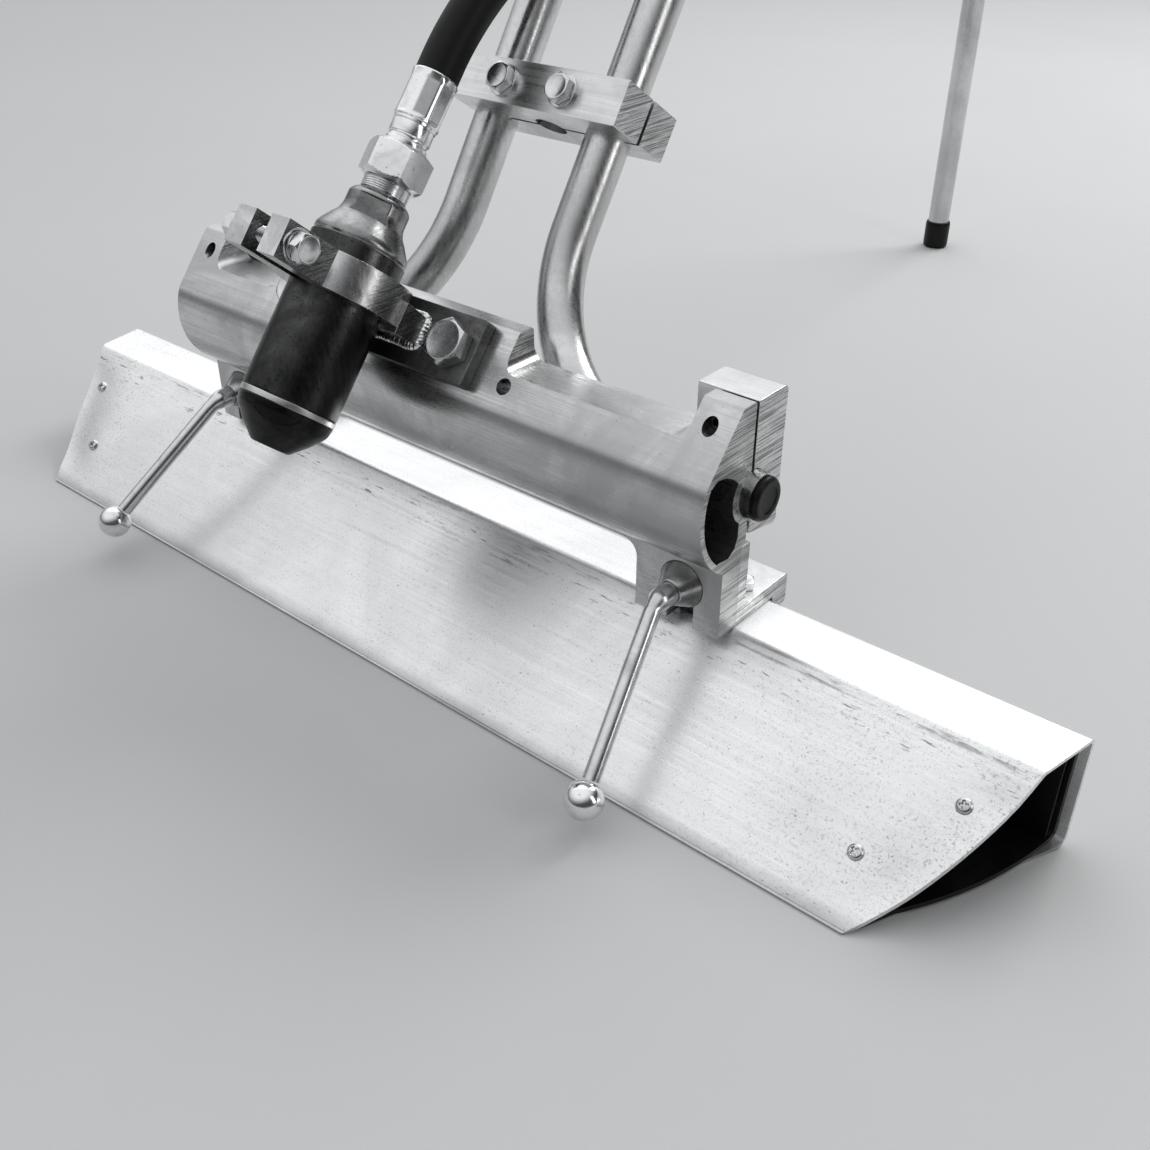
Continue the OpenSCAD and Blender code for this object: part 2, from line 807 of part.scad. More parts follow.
// A cone with its wide end in the leg's seat and its narrow end under the lever's hub.
module cone_washer_shape() {
    bottom = joint_gap - seat_depth;
    wide = seat_r - 0.4;
    top = hub_z - joint_gap;
    rotate_extrude() polygon([[screw_r + play, bottom], [wide - 0.5, bottom], [wide, bottom + 0.5],
                              [wide, 0.3], [9.6, top - 0.4], [9.2, top], [screw_r + play, top]]);
}

module cone_washer_left() {
    color("#9fa2a3") lever_frame(-1, 0) cone_washer_shape();
}

module cone_washer_right() {
    color("#9fa2a3") lever_frame(1, 0) cone_washer_shape();
}

// ---- Handle -------------------------------------------------------------------------------

module pipe_z(z0, z1) {
    difference() {
        rod_z(z0, z1, tube_r);
        rod_z(z0, z1, tube_r - tube_t);
    }
}

// A bent pipe about Z, in the XY plane, from +X through the angle.
module pipe_bend(angle) {
    rotate_extrude(angle = angle) translate([tube_bend_r, 0]) difference() {
        circle(r = tube_r);
        circle(r = tube_r - tube_t);
    }
}

// One handle tube, for the right side: shaft, lower bend and upright.
module handle_tube() {
    color("#bdbfc0") {
        rotate([0, 90, 0]) pipe_z(half_pitch + tube_bend_r, beam_l / 2 + 3);
        translate([half_pitch + tube_bend_r, 0, tube_bend_r]) rotate([90, 0, 0]) rotate([0, 0, 180])
            pipe_bend(90);
        translate([half_pitch, 0, 0]) pipe_z(tube_bend_r, upper_s);
    }
}

module handle_tube_left() {
    handle_frame() mirror([1, 0, 0]) handle_tube();
}

module handle_tube_right() {
    handle_frame() handle_tube();
}

// The upper bends and grip sections, butt welded to the uprights. The end of each bend is also
// turned back from its grip section, so that the two meet squarely.
module grip_tubes() {
    color("#bdbfc0") handle_frame() both_sides()
        translate([half_pitch, 0, upper_s]) rotate([0, 0, -grip_spread]) translate([0, tube_bend_r, 0])
            rotate([0, -90, 0]) rotate([0, 0, -90]) {
                pipe_bend(upper_bend);
                rotate([0, 0, upper_bend]) {
                    pipe_bend(-end_arc);
                    translate([tube_bend_r, 0, 0]) rotate([-90, 0, 0]) pipe_z(0, grip_run);
                }
            }
}

// Black plugs in the outer ends of the handle's shaft.
module tube_plugs() {
    inner = tube_r - tube_t;
    color("#151618") handle_frame() both_sides() translate([beam_l / 2 + 3, 0, 0]) rotate([0, 90, 0])
        rotate_extrude() polygon([[0, -20], [inner - 1.5, -20], [inner, -17], [inner, 0],
                                  [inner + 1.45, 0], [inner + 1.45, 2.5], [inner - 0.55, 4.8], [0, 4.8]]);
}

// Half of a tie block that clamps both tubes; side -1 is the front half.
module tie_half_shape(side, s) {
    color("#c6c8c9") handle_frame() translate([0, 0, s]) difference() {
        along_y(side < 0 ? -tie_half : tie_split, side < 0 ? -tie_split : tie_half) polygon(rounded(
            [[-tie_w / 2, -tie_h / 2], [tie_w / 2, -tie_h / 2], [tie_w / 2, tie_h / 2],
             [-tie_w / 2, tie_h / 2]], [1, 1, 1, 1]));
        for (dx = [-1, 1]) {
            translate([dx * half_pitch, 0, 0]) rod_z(-30, 30, tube_r);
            translate([dx * tie_bolt_dx, 0, 0]) rod_y(-50, 50, 6.4);
        }
        rod_z(-30, 30, tie_bore_r);
    }
}

module tie_front() {
    tie_half_shape(-1, tie_s);
}

module tie_rear() {
    tie_half_shape(1, tie_s);
}

module upper_tie_front() {
    tie_half_shape(-1, upper_tie_s);
}

module upper_tie_rear() {
    tie_half_shape(1, upper_tie_s);
}

// Places of the four tie bolts; Z points out of the front face.
module tie_bolts_at() {
    handle_frame() for (s = [tie_s, upper_tie_s], dx = [-1, 1])
        translate([dx * tie_bolt_dx, 0, s]) rotate([90, 0, 0]) children();
}

module tie_bolts() {
    color("#b1b4b5") tie_bolts_at() translate([0, 0, tie_half + 2.5]) rotate([0, 0, 20])
        hex_bolt(19, 7.5, 6, 84);
}

module tie_washers() {
    color("#b7babb") tie_bolts_at() for (z = [-tie_half - 2.5, tie_half]) translate([0, 0, z]) difference() {
        cylinder(r = 12, h = 2.5);
        translate([0, 0, -1]) cylinder(r = 6.5, h = 5);
    }
}

module tie_nuts() {
    color("#b1b4b5") tie_bolts_at() translate([0, 0, -tie_half - 13]) difference() {
        hex_z(0, 10.5, 19);
        rod_z(-1, 12, 6);
    }
}

module grip(side) {
    bulb = tube_r + 4.2;
    color("#1b1c1e") grip_frame(side) translate([0, 0, grip_run - grip_l]) difference() {
            rotate_extrude() polygon(concat([[0, 0], [bulb + 4, 0], [bulb + 4, 6], [bulb - 1, 9]],
                [for (i = [0 : 7]) each [[bulb, 16 + 13 * i], [bulb, 22 + 13 * i], [bulb - 1.2, 24 + 13 * i],
                                         [bulb - 1.2, 27 + 13 * i]]],
                [[bulb, 124], [bulb, grip_l], [bulb - 3, grip_l + 5], [0, grip_l + 5]]));
            rod_z(-1, grip_l, tube_r);
        }
}

module grip_left() {
    grip(-1);
}

module grip_right() {
    grip(1);
}

// ---- Throttle valve -----------------------------------------------------------------------

module valve_ferrule() {
    color("#bcbebd") handle_frame() translate([0, 0, nipple_s0]) mirror([0, 0, 1])
        ferrule_shape(nipple_s0 - hose_end_s);
}

module valve_nipple() {
    color("#a7a9a8") handle_frame() difference() {
        union() {
            rod_z(nipple_s0, valve_s0, tie_bore_r);
            rod_z(nipple_s0, nipple_s0 + 6, 15.5);
        }
        rod_z(nipple_s0 - 1, valve_s0 + 1, 8);
    }
}

module valve_body() {
    color("#a08c5a") handle_frame() difference() {
        union() {
            hex_z(valve_s0 - 12, valve_s0, 32);
            rod_z(valve_s0 - eps, valve_s1, 22);
            hex_z(valve_s1 - eps, valve_s1 + 12, 32);
            translate([0, 0, (valve_s0 + valve_s1) / 2]) rod_y(-26, 0, 9);
        }
        rod_z(valve_s0 - 13, valve_s0, tie_bore_r);
        rod_z(valve_s0 - 1, valve_s1 + 13, 8);
        translate([0, 0, (valve_s0 + valve_s1) / 2]) rod_y(-40, -12, 4 + play);
    }
}

// Quarter-turn lever on the valve's stem, on the front side, clear of the grip tubes.
module valve_lever() {
    color("#7d2f28") handle_frame() translate([0, 0, (valve_s0 + valve_s1) / 2]) {
        rod_y(-34, -14, 4);
        along_y(-30, -26.5) polygon(rounded([[-10, -12], [10, -12], [9, 105], [-9, 105]], [9, 9, 8, 8]));
        rod_y(-35, -30, 6.5);
    }
}

module inlet_coupling() {
    color("#b9bab8") handle_frame() difference() {
        union() {
            rod_z(valve_s1 + 12, valve_s1 + 30, 13);
            rod_z(valve_s1 + 18, valve_s1 + 24, 18);
            rod_z(valve_s1 + 30, valve_s1 + 40, 16.5);
        }
        rod_z(valve_s1 + 10, valve_s1 + 45, 8);
        for (turn = [0, 180]) rotate([0, 0, turn]) translate([5, -4, valve_s1 + 34]) cube([16, 8, 10]);
    }
}

// ---- Stand --------------------------------------------------------------------------------

module stand_pivot_frame() {
    translate([stand_x, stand_y, pivot_z]) children();
}

// A collar on the left tube with a fork below it for the leg.
module stand_bracket() {
    color("#9b9e9f") difference() {
        union() {
            grip_frame(-1) translate([0, 0, pivot_run]) rod_z(-20, 20, tube_r + 6);
            stand_pivot_frame() for (side = [-1, 1])
                along_x(side < 0 ? -fork_gap - fork_t : fork_gap, side < 0 ? -fork_gap : fork_gap + fork_t)
                    polygon(rounded([[-14, -14], [14, -14], [14, stand_drop], [-14, stand_drop]],
                                    [13, 13, 0, 0]));
        }
        grip_frame(-1) translate([0, 0, pivot_run]) rod_z(-60, 60, tube_r);
        stand_pivot_frame() rod_x(-40, 40, 6);
    }
}

module stand_pin() {
    pin_end = fork_gap + fork_t;
    color("#a9acad") stand_pivot_frame() {
        rod_x(-pin_end, pin_end + 8, 6);
        rotate([0, 90, 0]) hex_z(-pin_end - 7, -pin_end, 19);
        rotate([0, 90, 0]) hex_z(pin_end, pin_end + 6, 19);
    }
}

module stand_tube() {
    color("#b4b7b8") difference() {
        translate([stand_x, stand_y, 0]) rod_z(4, pivot_z + 11, stand_r);
        translate([stand_x, stand_y, 0]) rod_z(3, pivot_z + 12, stand_r - 2);
        stand_pivot_frame() rod_x(-30, 30, 6 + play);
    }
}

module stand_foot() {
    color("#141517") translate([stand_x, stand_y, 0]) difference() {
        rotate_extrude() polygon([[0, 0], [stand_r, 0], [stand_r + 2.5, 2.5], [stand_r + 2.5, 34],
                                  [stand_r, 36], [0, 36]]);
        rod_z(4, 40, stand_r);
    }
}

board_shell();
end_plug_left();
end_plug_right();
end_plug_screws();
bracket_left();
bracket_right();
bracket_bolts();
bracket_nuts();
head_beam();
shaft_cap_left();
shaft_cap_right();
cap_screws();
mount_plate();
plate_bolts();
saddle_clamp();
saddle_welds();
clamp_bolt();
clamp_washers();
clamp_nut();
vibrator_body();
vibrator_cap();
cap_ring();
back_head();
motor_liner();
motor_plate();
bearings();
eccentric_rotor();
inlet_adapter();
swivel_nut();
hose_stem();
hose_ferrule();
air_hose();
lever_left();
lever_right();
lever_knob_left();
lever_knob_right();
cone_washer_left();
cone_washer_right();
handle_tube_left();
handle_tube_right();
grip_tubes();
tube_plugs();
tie_front();
tie_rear();
upper_tie_front();
upper_tie_rear();
tie_bolts();
tie_washers();
tie_nuts();
grip_left();
grip_right();
valve_ferrule();
valve_nipple();
valve_body();
valve_lever();
inlet_coupling();
stand_bracket();
stand_pin();
stand_tube();
stand_foot();
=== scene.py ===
"""Looks of the power screed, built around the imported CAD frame. Lengths inside pieces are
millimetres in the piece's own frame, and its matrix turns them into metres in the row frame."""
import json
from contextlib import contextmanager
from functools import partial
from math import atan2, cos, degrees, hypot, pi, radians, sin, sqrt, tan

import bmesh
import bpy
from mathutils import Matrix, Vector, noise

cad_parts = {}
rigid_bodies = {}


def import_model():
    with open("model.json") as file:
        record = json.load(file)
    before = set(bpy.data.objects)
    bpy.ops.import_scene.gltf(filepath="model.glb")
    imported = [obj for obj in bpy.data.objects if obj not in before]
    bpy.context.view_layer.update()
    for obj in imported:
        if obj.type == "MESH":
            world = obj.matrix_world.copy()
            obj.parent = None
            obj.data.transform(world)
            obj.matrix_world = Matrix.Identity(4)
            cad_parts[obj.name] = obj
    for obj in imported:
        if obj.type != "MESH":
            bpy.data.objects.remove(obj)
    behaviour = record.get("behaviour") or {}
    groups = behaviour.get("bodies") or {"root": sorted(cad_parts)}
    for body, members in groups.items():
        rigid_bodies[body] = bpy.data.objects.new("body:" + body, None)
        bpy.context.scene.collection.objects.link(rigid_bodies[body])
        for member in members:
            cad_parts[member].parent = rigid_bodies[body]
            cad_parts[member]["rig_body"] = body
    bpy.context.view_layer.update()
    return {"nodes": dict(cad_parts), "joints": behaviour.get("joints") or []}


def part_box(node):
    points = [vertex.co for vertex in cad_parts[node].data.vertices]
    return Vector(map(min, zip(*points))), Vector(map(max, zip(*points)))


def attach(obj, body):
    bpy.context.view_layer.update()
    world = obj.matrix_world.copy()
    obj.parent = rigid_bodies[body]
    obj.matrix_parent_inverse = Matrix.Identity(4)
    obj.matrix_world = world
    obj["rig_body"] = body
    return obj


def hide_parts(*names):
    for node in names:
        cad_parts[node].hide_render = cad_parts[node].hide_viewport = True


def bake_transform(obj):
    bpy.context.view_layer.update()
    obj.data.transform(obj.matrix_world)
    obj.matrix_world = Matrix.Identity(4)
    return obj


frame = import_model()
scene = bpy.context.scene

MM = 0.001
X, Y, Z = Vector((1, 0, 0)), Vector((0, 1, 0)), Vector((0, 0, 1))
joints = {j["name"]: j for j in frame["joints"]}


# ---- Camera ----

CAMERA_AT = (0.6398, -0.5744, 0.5872)
CAMERA_RIGHT = (0.76306, 0.64632, 0.00235)
CAMERA_UP = (-0.35325, 0.41400, 0.83894)
CAMERA_LENS = 39.67


def linked(name, data):
    obj = bpy.data.objects.new(name, data)
    scene.collection.objects.link(obj)
    return obj


def make_camera():
    data = bpy.data.cameras.new("camera")
    data.lens = CAMERA_LENS
    data.sensor_width = 36
    data.clip_start = 0.02
    camera = linked("camera", data)
    right, up = Vector(CAMERA_RIGHT), Vector(CAMERA_UP)
    turn = Matrix((right, up, right.cross(up))).transposed().to_4x4()
    camera.matrix_world = Matrix.Translation(CAMERA_AT) @ turn
    bpy.context.scene.camera = camera


make_camera()


# ---- Places ----

def place(origin, x, z):
    """Matrix of a frame given in millimetres, with its X and Z directions in the row frame."""
    x, z = Vector(x).normalized(), Vector(z).normalized()
    y = z.cross(x)
    turn = Matrix((x, y, x.cross(y))).transposed().to_4x4()
    return Matrix.Translation(Vector(origin)) @ turn @ Matrix.Scale(MM, 4)


def spin(angle, axis="Z"):
    return Matrix.Rotation(radians(angle), 4, axis)


def shift(x=0.0, y=0.0, z=0.0):
    return Matrix.Translation((x, y, z))


ROW = Matrix.Scale(MM, 4)
HEAD = place(joints["rotor_spin"]["pos_m"], X, joints["rotor_spin"]["axis"])
HANDLE_DIR = X.cross(Vector(joints["throttle_turn"]["axis"]))
SHAFT_AT = Vector(joints["handle_tilt"]["pos_m"]) + X * joints["throttle_turn"]["pos_m"][0]
HANDLE = place(SHAFT_AT, X, HANDLE_DIR)
HALF_PITCH, TUBE_R, TUBE_T, BEND_R = 54, 16.85, 2.9, 130
UPPER_S, UPPER_BEND, GRIP_SPREAD, GRIP_RUN, GRIP_L = 640, 49, 7, 800, 130
TIE_S, UPPER_TIE_S, TIE_HALF, TIE_BOLT_DX = 215, 590, 33, 28
BEAM_HALF = 268.5


def grip_place(side):
    """Frame of a grip section: Z along the tube from the end of its upper bend."""
    return (HANDLE @ shift(side * HALF_PITCH, 0, UPPER_S) @ spin(-side * GRIP_SPREAD)
        @ shift(0, BEND_R, 0) @ spin(-UPPER_BEND, "X") @ shift(0, -BEND_R, 0))


# ---- Mesh makers ----

@contextmanager
def edited(mesh):
    """The mesh opened for editing, and written back at the end."""
    bm = bmesh.new()
    bm.from_mesh(mesh)
    yield bm
    bm.to_mesh(mesh)
    bm.free()


def add_piece(name, parts, material, node=None, at=ROW, body="screed_head", sharp=35, slot=None):
    """One object from parts, each a (vertices, faces) pair in millimetres."""
    verts, faces = [], []
    for part_verts, part_faces in parts:
        base = len(verts)
        verts += [at @ Vector(v) for v in part_verts]
        faces += [[i + base for i in face] for face in part_faces]
    mesh = bpy.data.meshes.new(name)
    mesh.from_pydata(verts, [], faces)
    with edited(mesh) as bm:
        bmesh.ops.recalc_face_normals(bm, faces=bm.faces)
    mesh.shade_smooth()
    mesh.set_sharp_from_angle(angle=radians(sharp))
    mesh.materials.append(material)
    obj = linked(name, mesh)
    if body:
        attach(obj, body)
    if node:
        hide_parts(node)
    return obj


on_head = partial(add_piece, at=HEAD)
on_handle = partial(add_piece, at=HANDLE, body="handle")


def moved(part, matrix):
    verts, faces = part
    return [matrix @ Vector(v) for v in verts], faces


def eased(points, radius, steps=3):
    """An open profile with each inner corner rounded, where its sides are long enough."""
    out = [points[0]]
    for a, b, c in zip(points, points[1:], points[2:]):
        a, b, c = Vector(a), Vector(b), Vector(c)
        u, v = a - b, c - b
        if u.length < 1e-6 or v.length < 1e-6 or abs(u.normalized().cross(v.normalized())) < 0.15:
            out.append(tuple(b))
            continue
        reach = min(radius, 0.4 * u.length, 0.4 * v.length)
        p, q = b + u.normalized() * reach, b + v.normalized() * reach
        for i in range(steps + 1):
            t = i / steps
            out.append(tuple(p * (1 - t) ** 2 + b * 2 * t * (1 - t) + q * t * t))
    out.append(points[-1])
    return out


def between(a, b, count):
    """count + 1 evenly spaced points from a to b."""
    return [(a[0] + (b[0] - a[0]) * i / count, a[1] + (b[1] - a[1]) * i / count)
        for i in range(count + 1)]


def turned(profile, segments=96, clip=None):
    """A profile of (radius, height) turned about Z. clip(angle, height, radius) may cut into it.
    A profile that ends off the axis closes onto its start."""
    verts, faces, rings = [], [], []
    for r, z in profile:
        if r < 1e-6:
            rings.append([len(verts)])
            verts.append((0, 0, z))
            continue
        rings.append(list(range(len(verts), len(verts) + segments)))
        for k in range(segments):
            angle = 2 * pi * k / segments
            reach = clip(angle, z, r) if clip else r
            verts.append((reach * cos(angle), reach * sin(angle), z))
    pairs = list(zip(rings, rings[1:]))
    if len(rings[0]) > 1 and len(rings[-1]) > 1:
        pairs.append((rings[-1], rings[0]))
    for lower, upper in pairs:
        for k in range(segments):
            n = (k + 1) % segments
            if len(lower) == 1 and len(upper) > 1:
                faces.append((lower[0], upper[n], upper[k]))
            elif len(upper) == 1 and len(lower) > 1:
                faces.append((lower[k], lower[n], upper[0]))
            elif len(lower) > 1:
                faces.append((lower[k], lower[n], upper[n], upper[k]))
    return verts, faces


def polygon_clip(sides, across, z0=-1e9, z1=1e9):
    """Cuts a turned part to a regular polygon between two heights."""
    step = 2 * pi / sides

    def clip(angle, z, r):
        if not z0 <= z <= z1:
            return r
        off = (angle + step / 2) % step - step / 2
        return min(r, across / 2 / cos(off))
    return clip


def flats_clip(direction, apothem, z0, z1):
    """Cuts two opposite flats into a turned part."""
    def clip(angle, z, r):
        if not z0 <= z <= z1:
            return r
        c = abs(cos(angle - radians(direction)))
        return min(r, apothem / c) if c > 0.05 else r
    return clip


def swept(path, radius, sides=32, dome=0.0):
    """A closed tube along a path. radius is a number or a function of the distance along it."""
    path = [Vector(p) for p in path]
    radius_at = radius if callable(radius) else lambda s: radius
    ends = path[:1] + path + path[-1:]
    tangents = [(b - a).normalized() for a, b in zip(ends, ends[2:])]
    side = tangents[0].orthogonal().normalized()
    verts, faces, rings, s = [], [], [], 0.0
    for i, (p, t) in enumerate(zip(path, tangents)):
        if i:
            s += (p - path[i - 1]).length
            side = (side - t * side.dot(t)).normalized()
        up = t.cross(side)
        rings.append(range(len(verts), len(verts) + sides))
        for k in range(sides):
            a = 2 * pi * k / sides
            verts.append(p + radius_at(s) * (cos(a) * side + sin(a) * up))
    for lower, upper in zip(rings, rings[1:]):
        for k in range(sides):
            n = (k + 1) % sides
            faces.append((lower[k], lower[n], upper[n], upper[k]))
    for ring, end, out in ((rings[0], path[0], -tangents[0]), (rings[-1], path[-1], tangents[-1])):
        verts.append(end + out * dome)
        for k in range(sides):
            faces.append((ring[k], ring[(k + 1) % sides], len(verts) - 1))
    return verts, faces


def smooth_route(points):
    """Points on a Catmull-Rom curve through the given points."""
    per_span, pts = 8, [Vector(p) for p in points]
    pts = [2 * pts[0] - pts[1]] + pts + [2 * pts[-1] - pts[-2]]
    out = []
    for a, b, c, d in zip(pts, pts[1:], pts[2:], pts[3:]):
        for i in range(per_span):
            t = i / per_span
            out.append(0.5 * (2 * b + (c - a) * t + (2 * a - 5 * b + 4 * c - d) * t * t
                + (3 * b - a - 3 * c + d) * t ** 3))
    return out + [pts[-2]]


def arc_points(centre, start, axis, angle, steps):
    """Points on an arc about an axis through centre, from start."""
    centre, start = Vector(centre), Vector(start)
    return [centre + Matrix.Rotation(radians(angle * i / steps), 3, axis) @ (start - centre)
        for i in range(steps + 1)]


WELD_GAP = 2e-6     # metres
FLAT_ANGLE = 0.6    # degrees
BEVEL_ANGLE = 30


def softened(node, material, width, segments=2, move=None):
    """A copy of a CAD node with its sharp edges eased by width, which stands for it."""
    source = frame["nodes"][node]
    mesh = source.data.copy()
    mesh.name = node + "_eased"
    with edited(mesh) as bm:
        bmesh.ops.remove_doubles(bm, verts=bm.verts, dist=WELD_GAP)
        bmesh.ops.dissolve_limit(bm, angle_limit=radians(FLAT_ANGLE), verts=bm.verts,
            edges=bm.edges)
        bmesh.ops.recalc_face_normals(bm, faces=bm.faces)
        if move:
            for v in bm.verts:
                v.co = move(v.co / MM) * MM
        for face in bm.faces:
            face.smooth = True
    mesh.materials.clear()
    mesh.materials.append(material)
    obj = linked(mesh.name, mesh)
    bevel = obj.modifiers.new("eased_edges", "BEVEL")
    bevel.width = width * MM
    bevel.segments = segments
    bevel.limit_method = "ANGLE"
    bevel.angle_limit = radians(BEVEL_ANGLE)
    weighted = obj.modifiers.new("flat_faces", "WEIGHTED_NORMAL")
    weighted.weight = 80
    body = source["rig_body"]
    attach(obj, body)
    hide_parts(node)
    return obj


# ---- Materials ----

class Tree:
    """A node tree, with short calls for the nodes used here."""

    def __init__(self, owner):
        owner.use_nodes = True
        self.tree = owner.node_tree

    def add(self, kind, values=(), links=(), **settings):
        node = self.tree.nodes.new("ShaderNode" + kind)
        for key, value in settings.items():
            setattr(node, key, value)
        for key, value in dict(values).items():
            node.inputs[key].default_value = value
        for key, output in dict(links).items():
            self.tree.links.new(output, node.inputs[key])
        return node

    def spread(self, value, low, high, to_low=0.0, to_high=1.0):
        """value from low..high to to_low..to_high, clamped and eased."""
        values = {"From Min": low, "From Max": high, "To Min": to_low, "To Max": to_high}
        node = self.add("MapRange", values, {"Value": value}, interpolation_type="SMOOTHSTEP")
        return node.outputs["Result"]

    def math(self, operation, a, b):
        node = self.add("Math", operation=operation)
        for socket, value in zip(node.inputs, (a, b)):
            if isinstance(value, (int, float)):
                socket.default_value = value
            else:
                self.tree.links.new(value, socket)
        return node.outputs[0]

    def times(self, a, b):
        return self.math("MULTIPLY", a, b)

    def plus(self, a, b):
        return self.math("ADD", a, b)

    def size(self, a):
        return self.math("ABSOLUTE", a, 0)


class Graph(Tree):
    """The node tree of a finish. The CAD nodes already carry the material of their slot's name, so
    rebuilding it dresses them too."""

    def __init__(self, name, metallic=1.0, **sockets):
        self.material = bpy.data.materials.get(name) or bpy.data.materials.new(name)
        super().__init__(self.material)
        self.tree.nodes.clear()
        self.shader = self.tree.nodes.new("ShaderNodeBsdfPrincipled")
        output = self.tree.nodes.new("ShaderNodeOutputMaterial")
        self.tree.links.new(self.shader.outputs[0], output.inputs["Surface"])
        self.shader.inputs["Metallic"].default_value = metallic
        for key, value in sockets.items():
            self.shader.inputs[key.replace("_", " ")].default_value = value
        coords = self.tree.nodes.new("ShaderNodeTexCoord")
        self.place, self.normal = coords.outputs["Object"], coords.outputs["Normal"]

    def stretch(self, scale, turn=(0, 0, 0)):
        values = {"Scale": scale, "Rotation": [radians(a) for a in turn]}
        return self.add("Mapping", values, {"Vector": self.place}).outputs[0]

    def noise(self, vector=None, scale=1.0, detail=5.0, rough=0.6, warp=0.0):
        values = {"Scale": scale, "Detail": detail, "Roughness": rough, "Distortion": warp}
        return self.add("TexNoise", values, {"Vector": vector or self.place}).outputs["Fac"]

    def blend(self, share, a, b):
        """Colour a where share is 0 and b where it is 1."""
        node = self.add("Mix", data_type="RGBA")
        self.tree.links.new(share, node.inputs["Factor"])
        colours = [s for s in node.inputs if s.type == "RGBA"]
        for socket, value in zip(colours, (a, b)):
            if isinstance(value, (tuple, list)):
                socket.default_value = (*value[:3], 1)
            else:
                self.tree.links.new(value, socket)
        return [s for s in node.outputs if s.type == "RGBA"][0]

    def over(self, base, colour, where, strength):
        return self.blend(self.times(where, strength), base, colour)

    def bump(self, heights):
        """Bumps from (height, depth in millimetres) pairs, one on top of another."""
        normal = None
        for height, depth in heights:
            links = {"Height": height}
            if normal is not None:
                links["Normal"] = normal
            bump = self.add("Bump", {"Distance": depth * MM}, links)
            normal = bump.outputs["Normal"]
        self.tree.links.new(normal, self.shader.inputs["Normal"])

    def finish(self, colour, roughness):
        self.tree.links.new(colour, self.shader.inputs["Base Color"])
        self.tree.links.new(roughness, self.shader.inputs["Roughness"])
        return self.material


def grey(level, tint=0.0):
    """A neutral grey, cooler with a positive tint."""
    return (level * (1 - tint), level, level * (1 + tint))


def metal(name, bright, dark, rough, grain, lean=0.0, clouds=(7, 0.45, 0.62), cloud_rough=0.12,
        pit_share=0.66, pit_dark=0.35, grain_depth=0.02, lines=0.5, saw=0.0, mottling=0.35,
        scratching=0.4, extra=None):
    """Bare or plated metal: clouds of wear, grain, fine pits and thin scratches. grain is the
    grain's frequency along each axis, lean turns it about X, and saw marks the faces along X."""
    g = Graph(name)
    broad = g.spread(g.noise(scale=clouds[0], detail=6, rough=0.62, warp=0.7), clouds[1],
        clouds[2])
    mottle = g.noise(scale=clouds[0] * 9, detail=6, rough=0.65)
    brushed = g.noise(g.stretch(grain, (lean, 0, 0)), detail=7, rough=0.72)
    pits = g.spread(g.noise(scale=620, detail=2.5, rough=0.6), pit_share, pit_share + 0.05)
    pits = g.times(pits, g.spread(mottle, 0.38, 0.6))
    scratch_a = g.noise(g.stretch((9, 1400, 1400), (0, 0, 24)), detail=1.5)
    scratch_b = g.noise(g.stretch((1300, 14, 1300), (38, 0, -15)), detail=1.5)
    scratches = g.math("MAXIMUM", g.spread(scratch_a, 0.70, 0.76), g.spread(scratch_b, 0.71, 0.77))
    scratches = g.times(scratches, g.spread(broad, 0.2, 0.9, 0.25, 1.0))
    colour = g.blend(broad, dark, bright)
    colour = g.over(colour, dark, g.spread(mottle, 0.42, 0.7), mottling)
    colour = g.over(colour, [c * 0.72 for c in bright], g.spread(brushed, 0.35, 0.75), lines)
    colour = g.over(colour, [c * 0.18 for c in dark], pits, pit_dark)
    colour = g.over(colour, [min(1, c * 1.15) for c in bright], scratches, scratching)
    roughness = g.plus(g.spread(broad, 0, 1, rough + cloud_rough, rough),
        g.spread(brushed, 0.25, 0.75, -0.06, 0.08))
    roughness = g.plus(roughness, g.times(pits, 0.25))
    heights = [(brushed, grain_depth), (g.times(pits, -1), 0.03), (scratches, 0.02 * scratching)]
    if saw:
        normal_x = g.add("SeparateXYZ", links={"Vector": g.normal}).outputs[0]
        facing = g.spread(g.size(normal_x), 0.93, 0.99)
        marks = g.noise(g.stretch((1, 14, 800), (33, 0, 0)), detail=3, rough=0.7)
        marks = g.times(marks, facing)
        colour = g.over(colour, [c * 0.35 for c in dark], g.spread(marks, 0.46, 0.60), 0.85)
        heights.append((marks, saw))
    if extra:
        colour, roughness = extra(g, colour, roughness)
    g.bump(heights)
    return g.finish(colour, roughness)


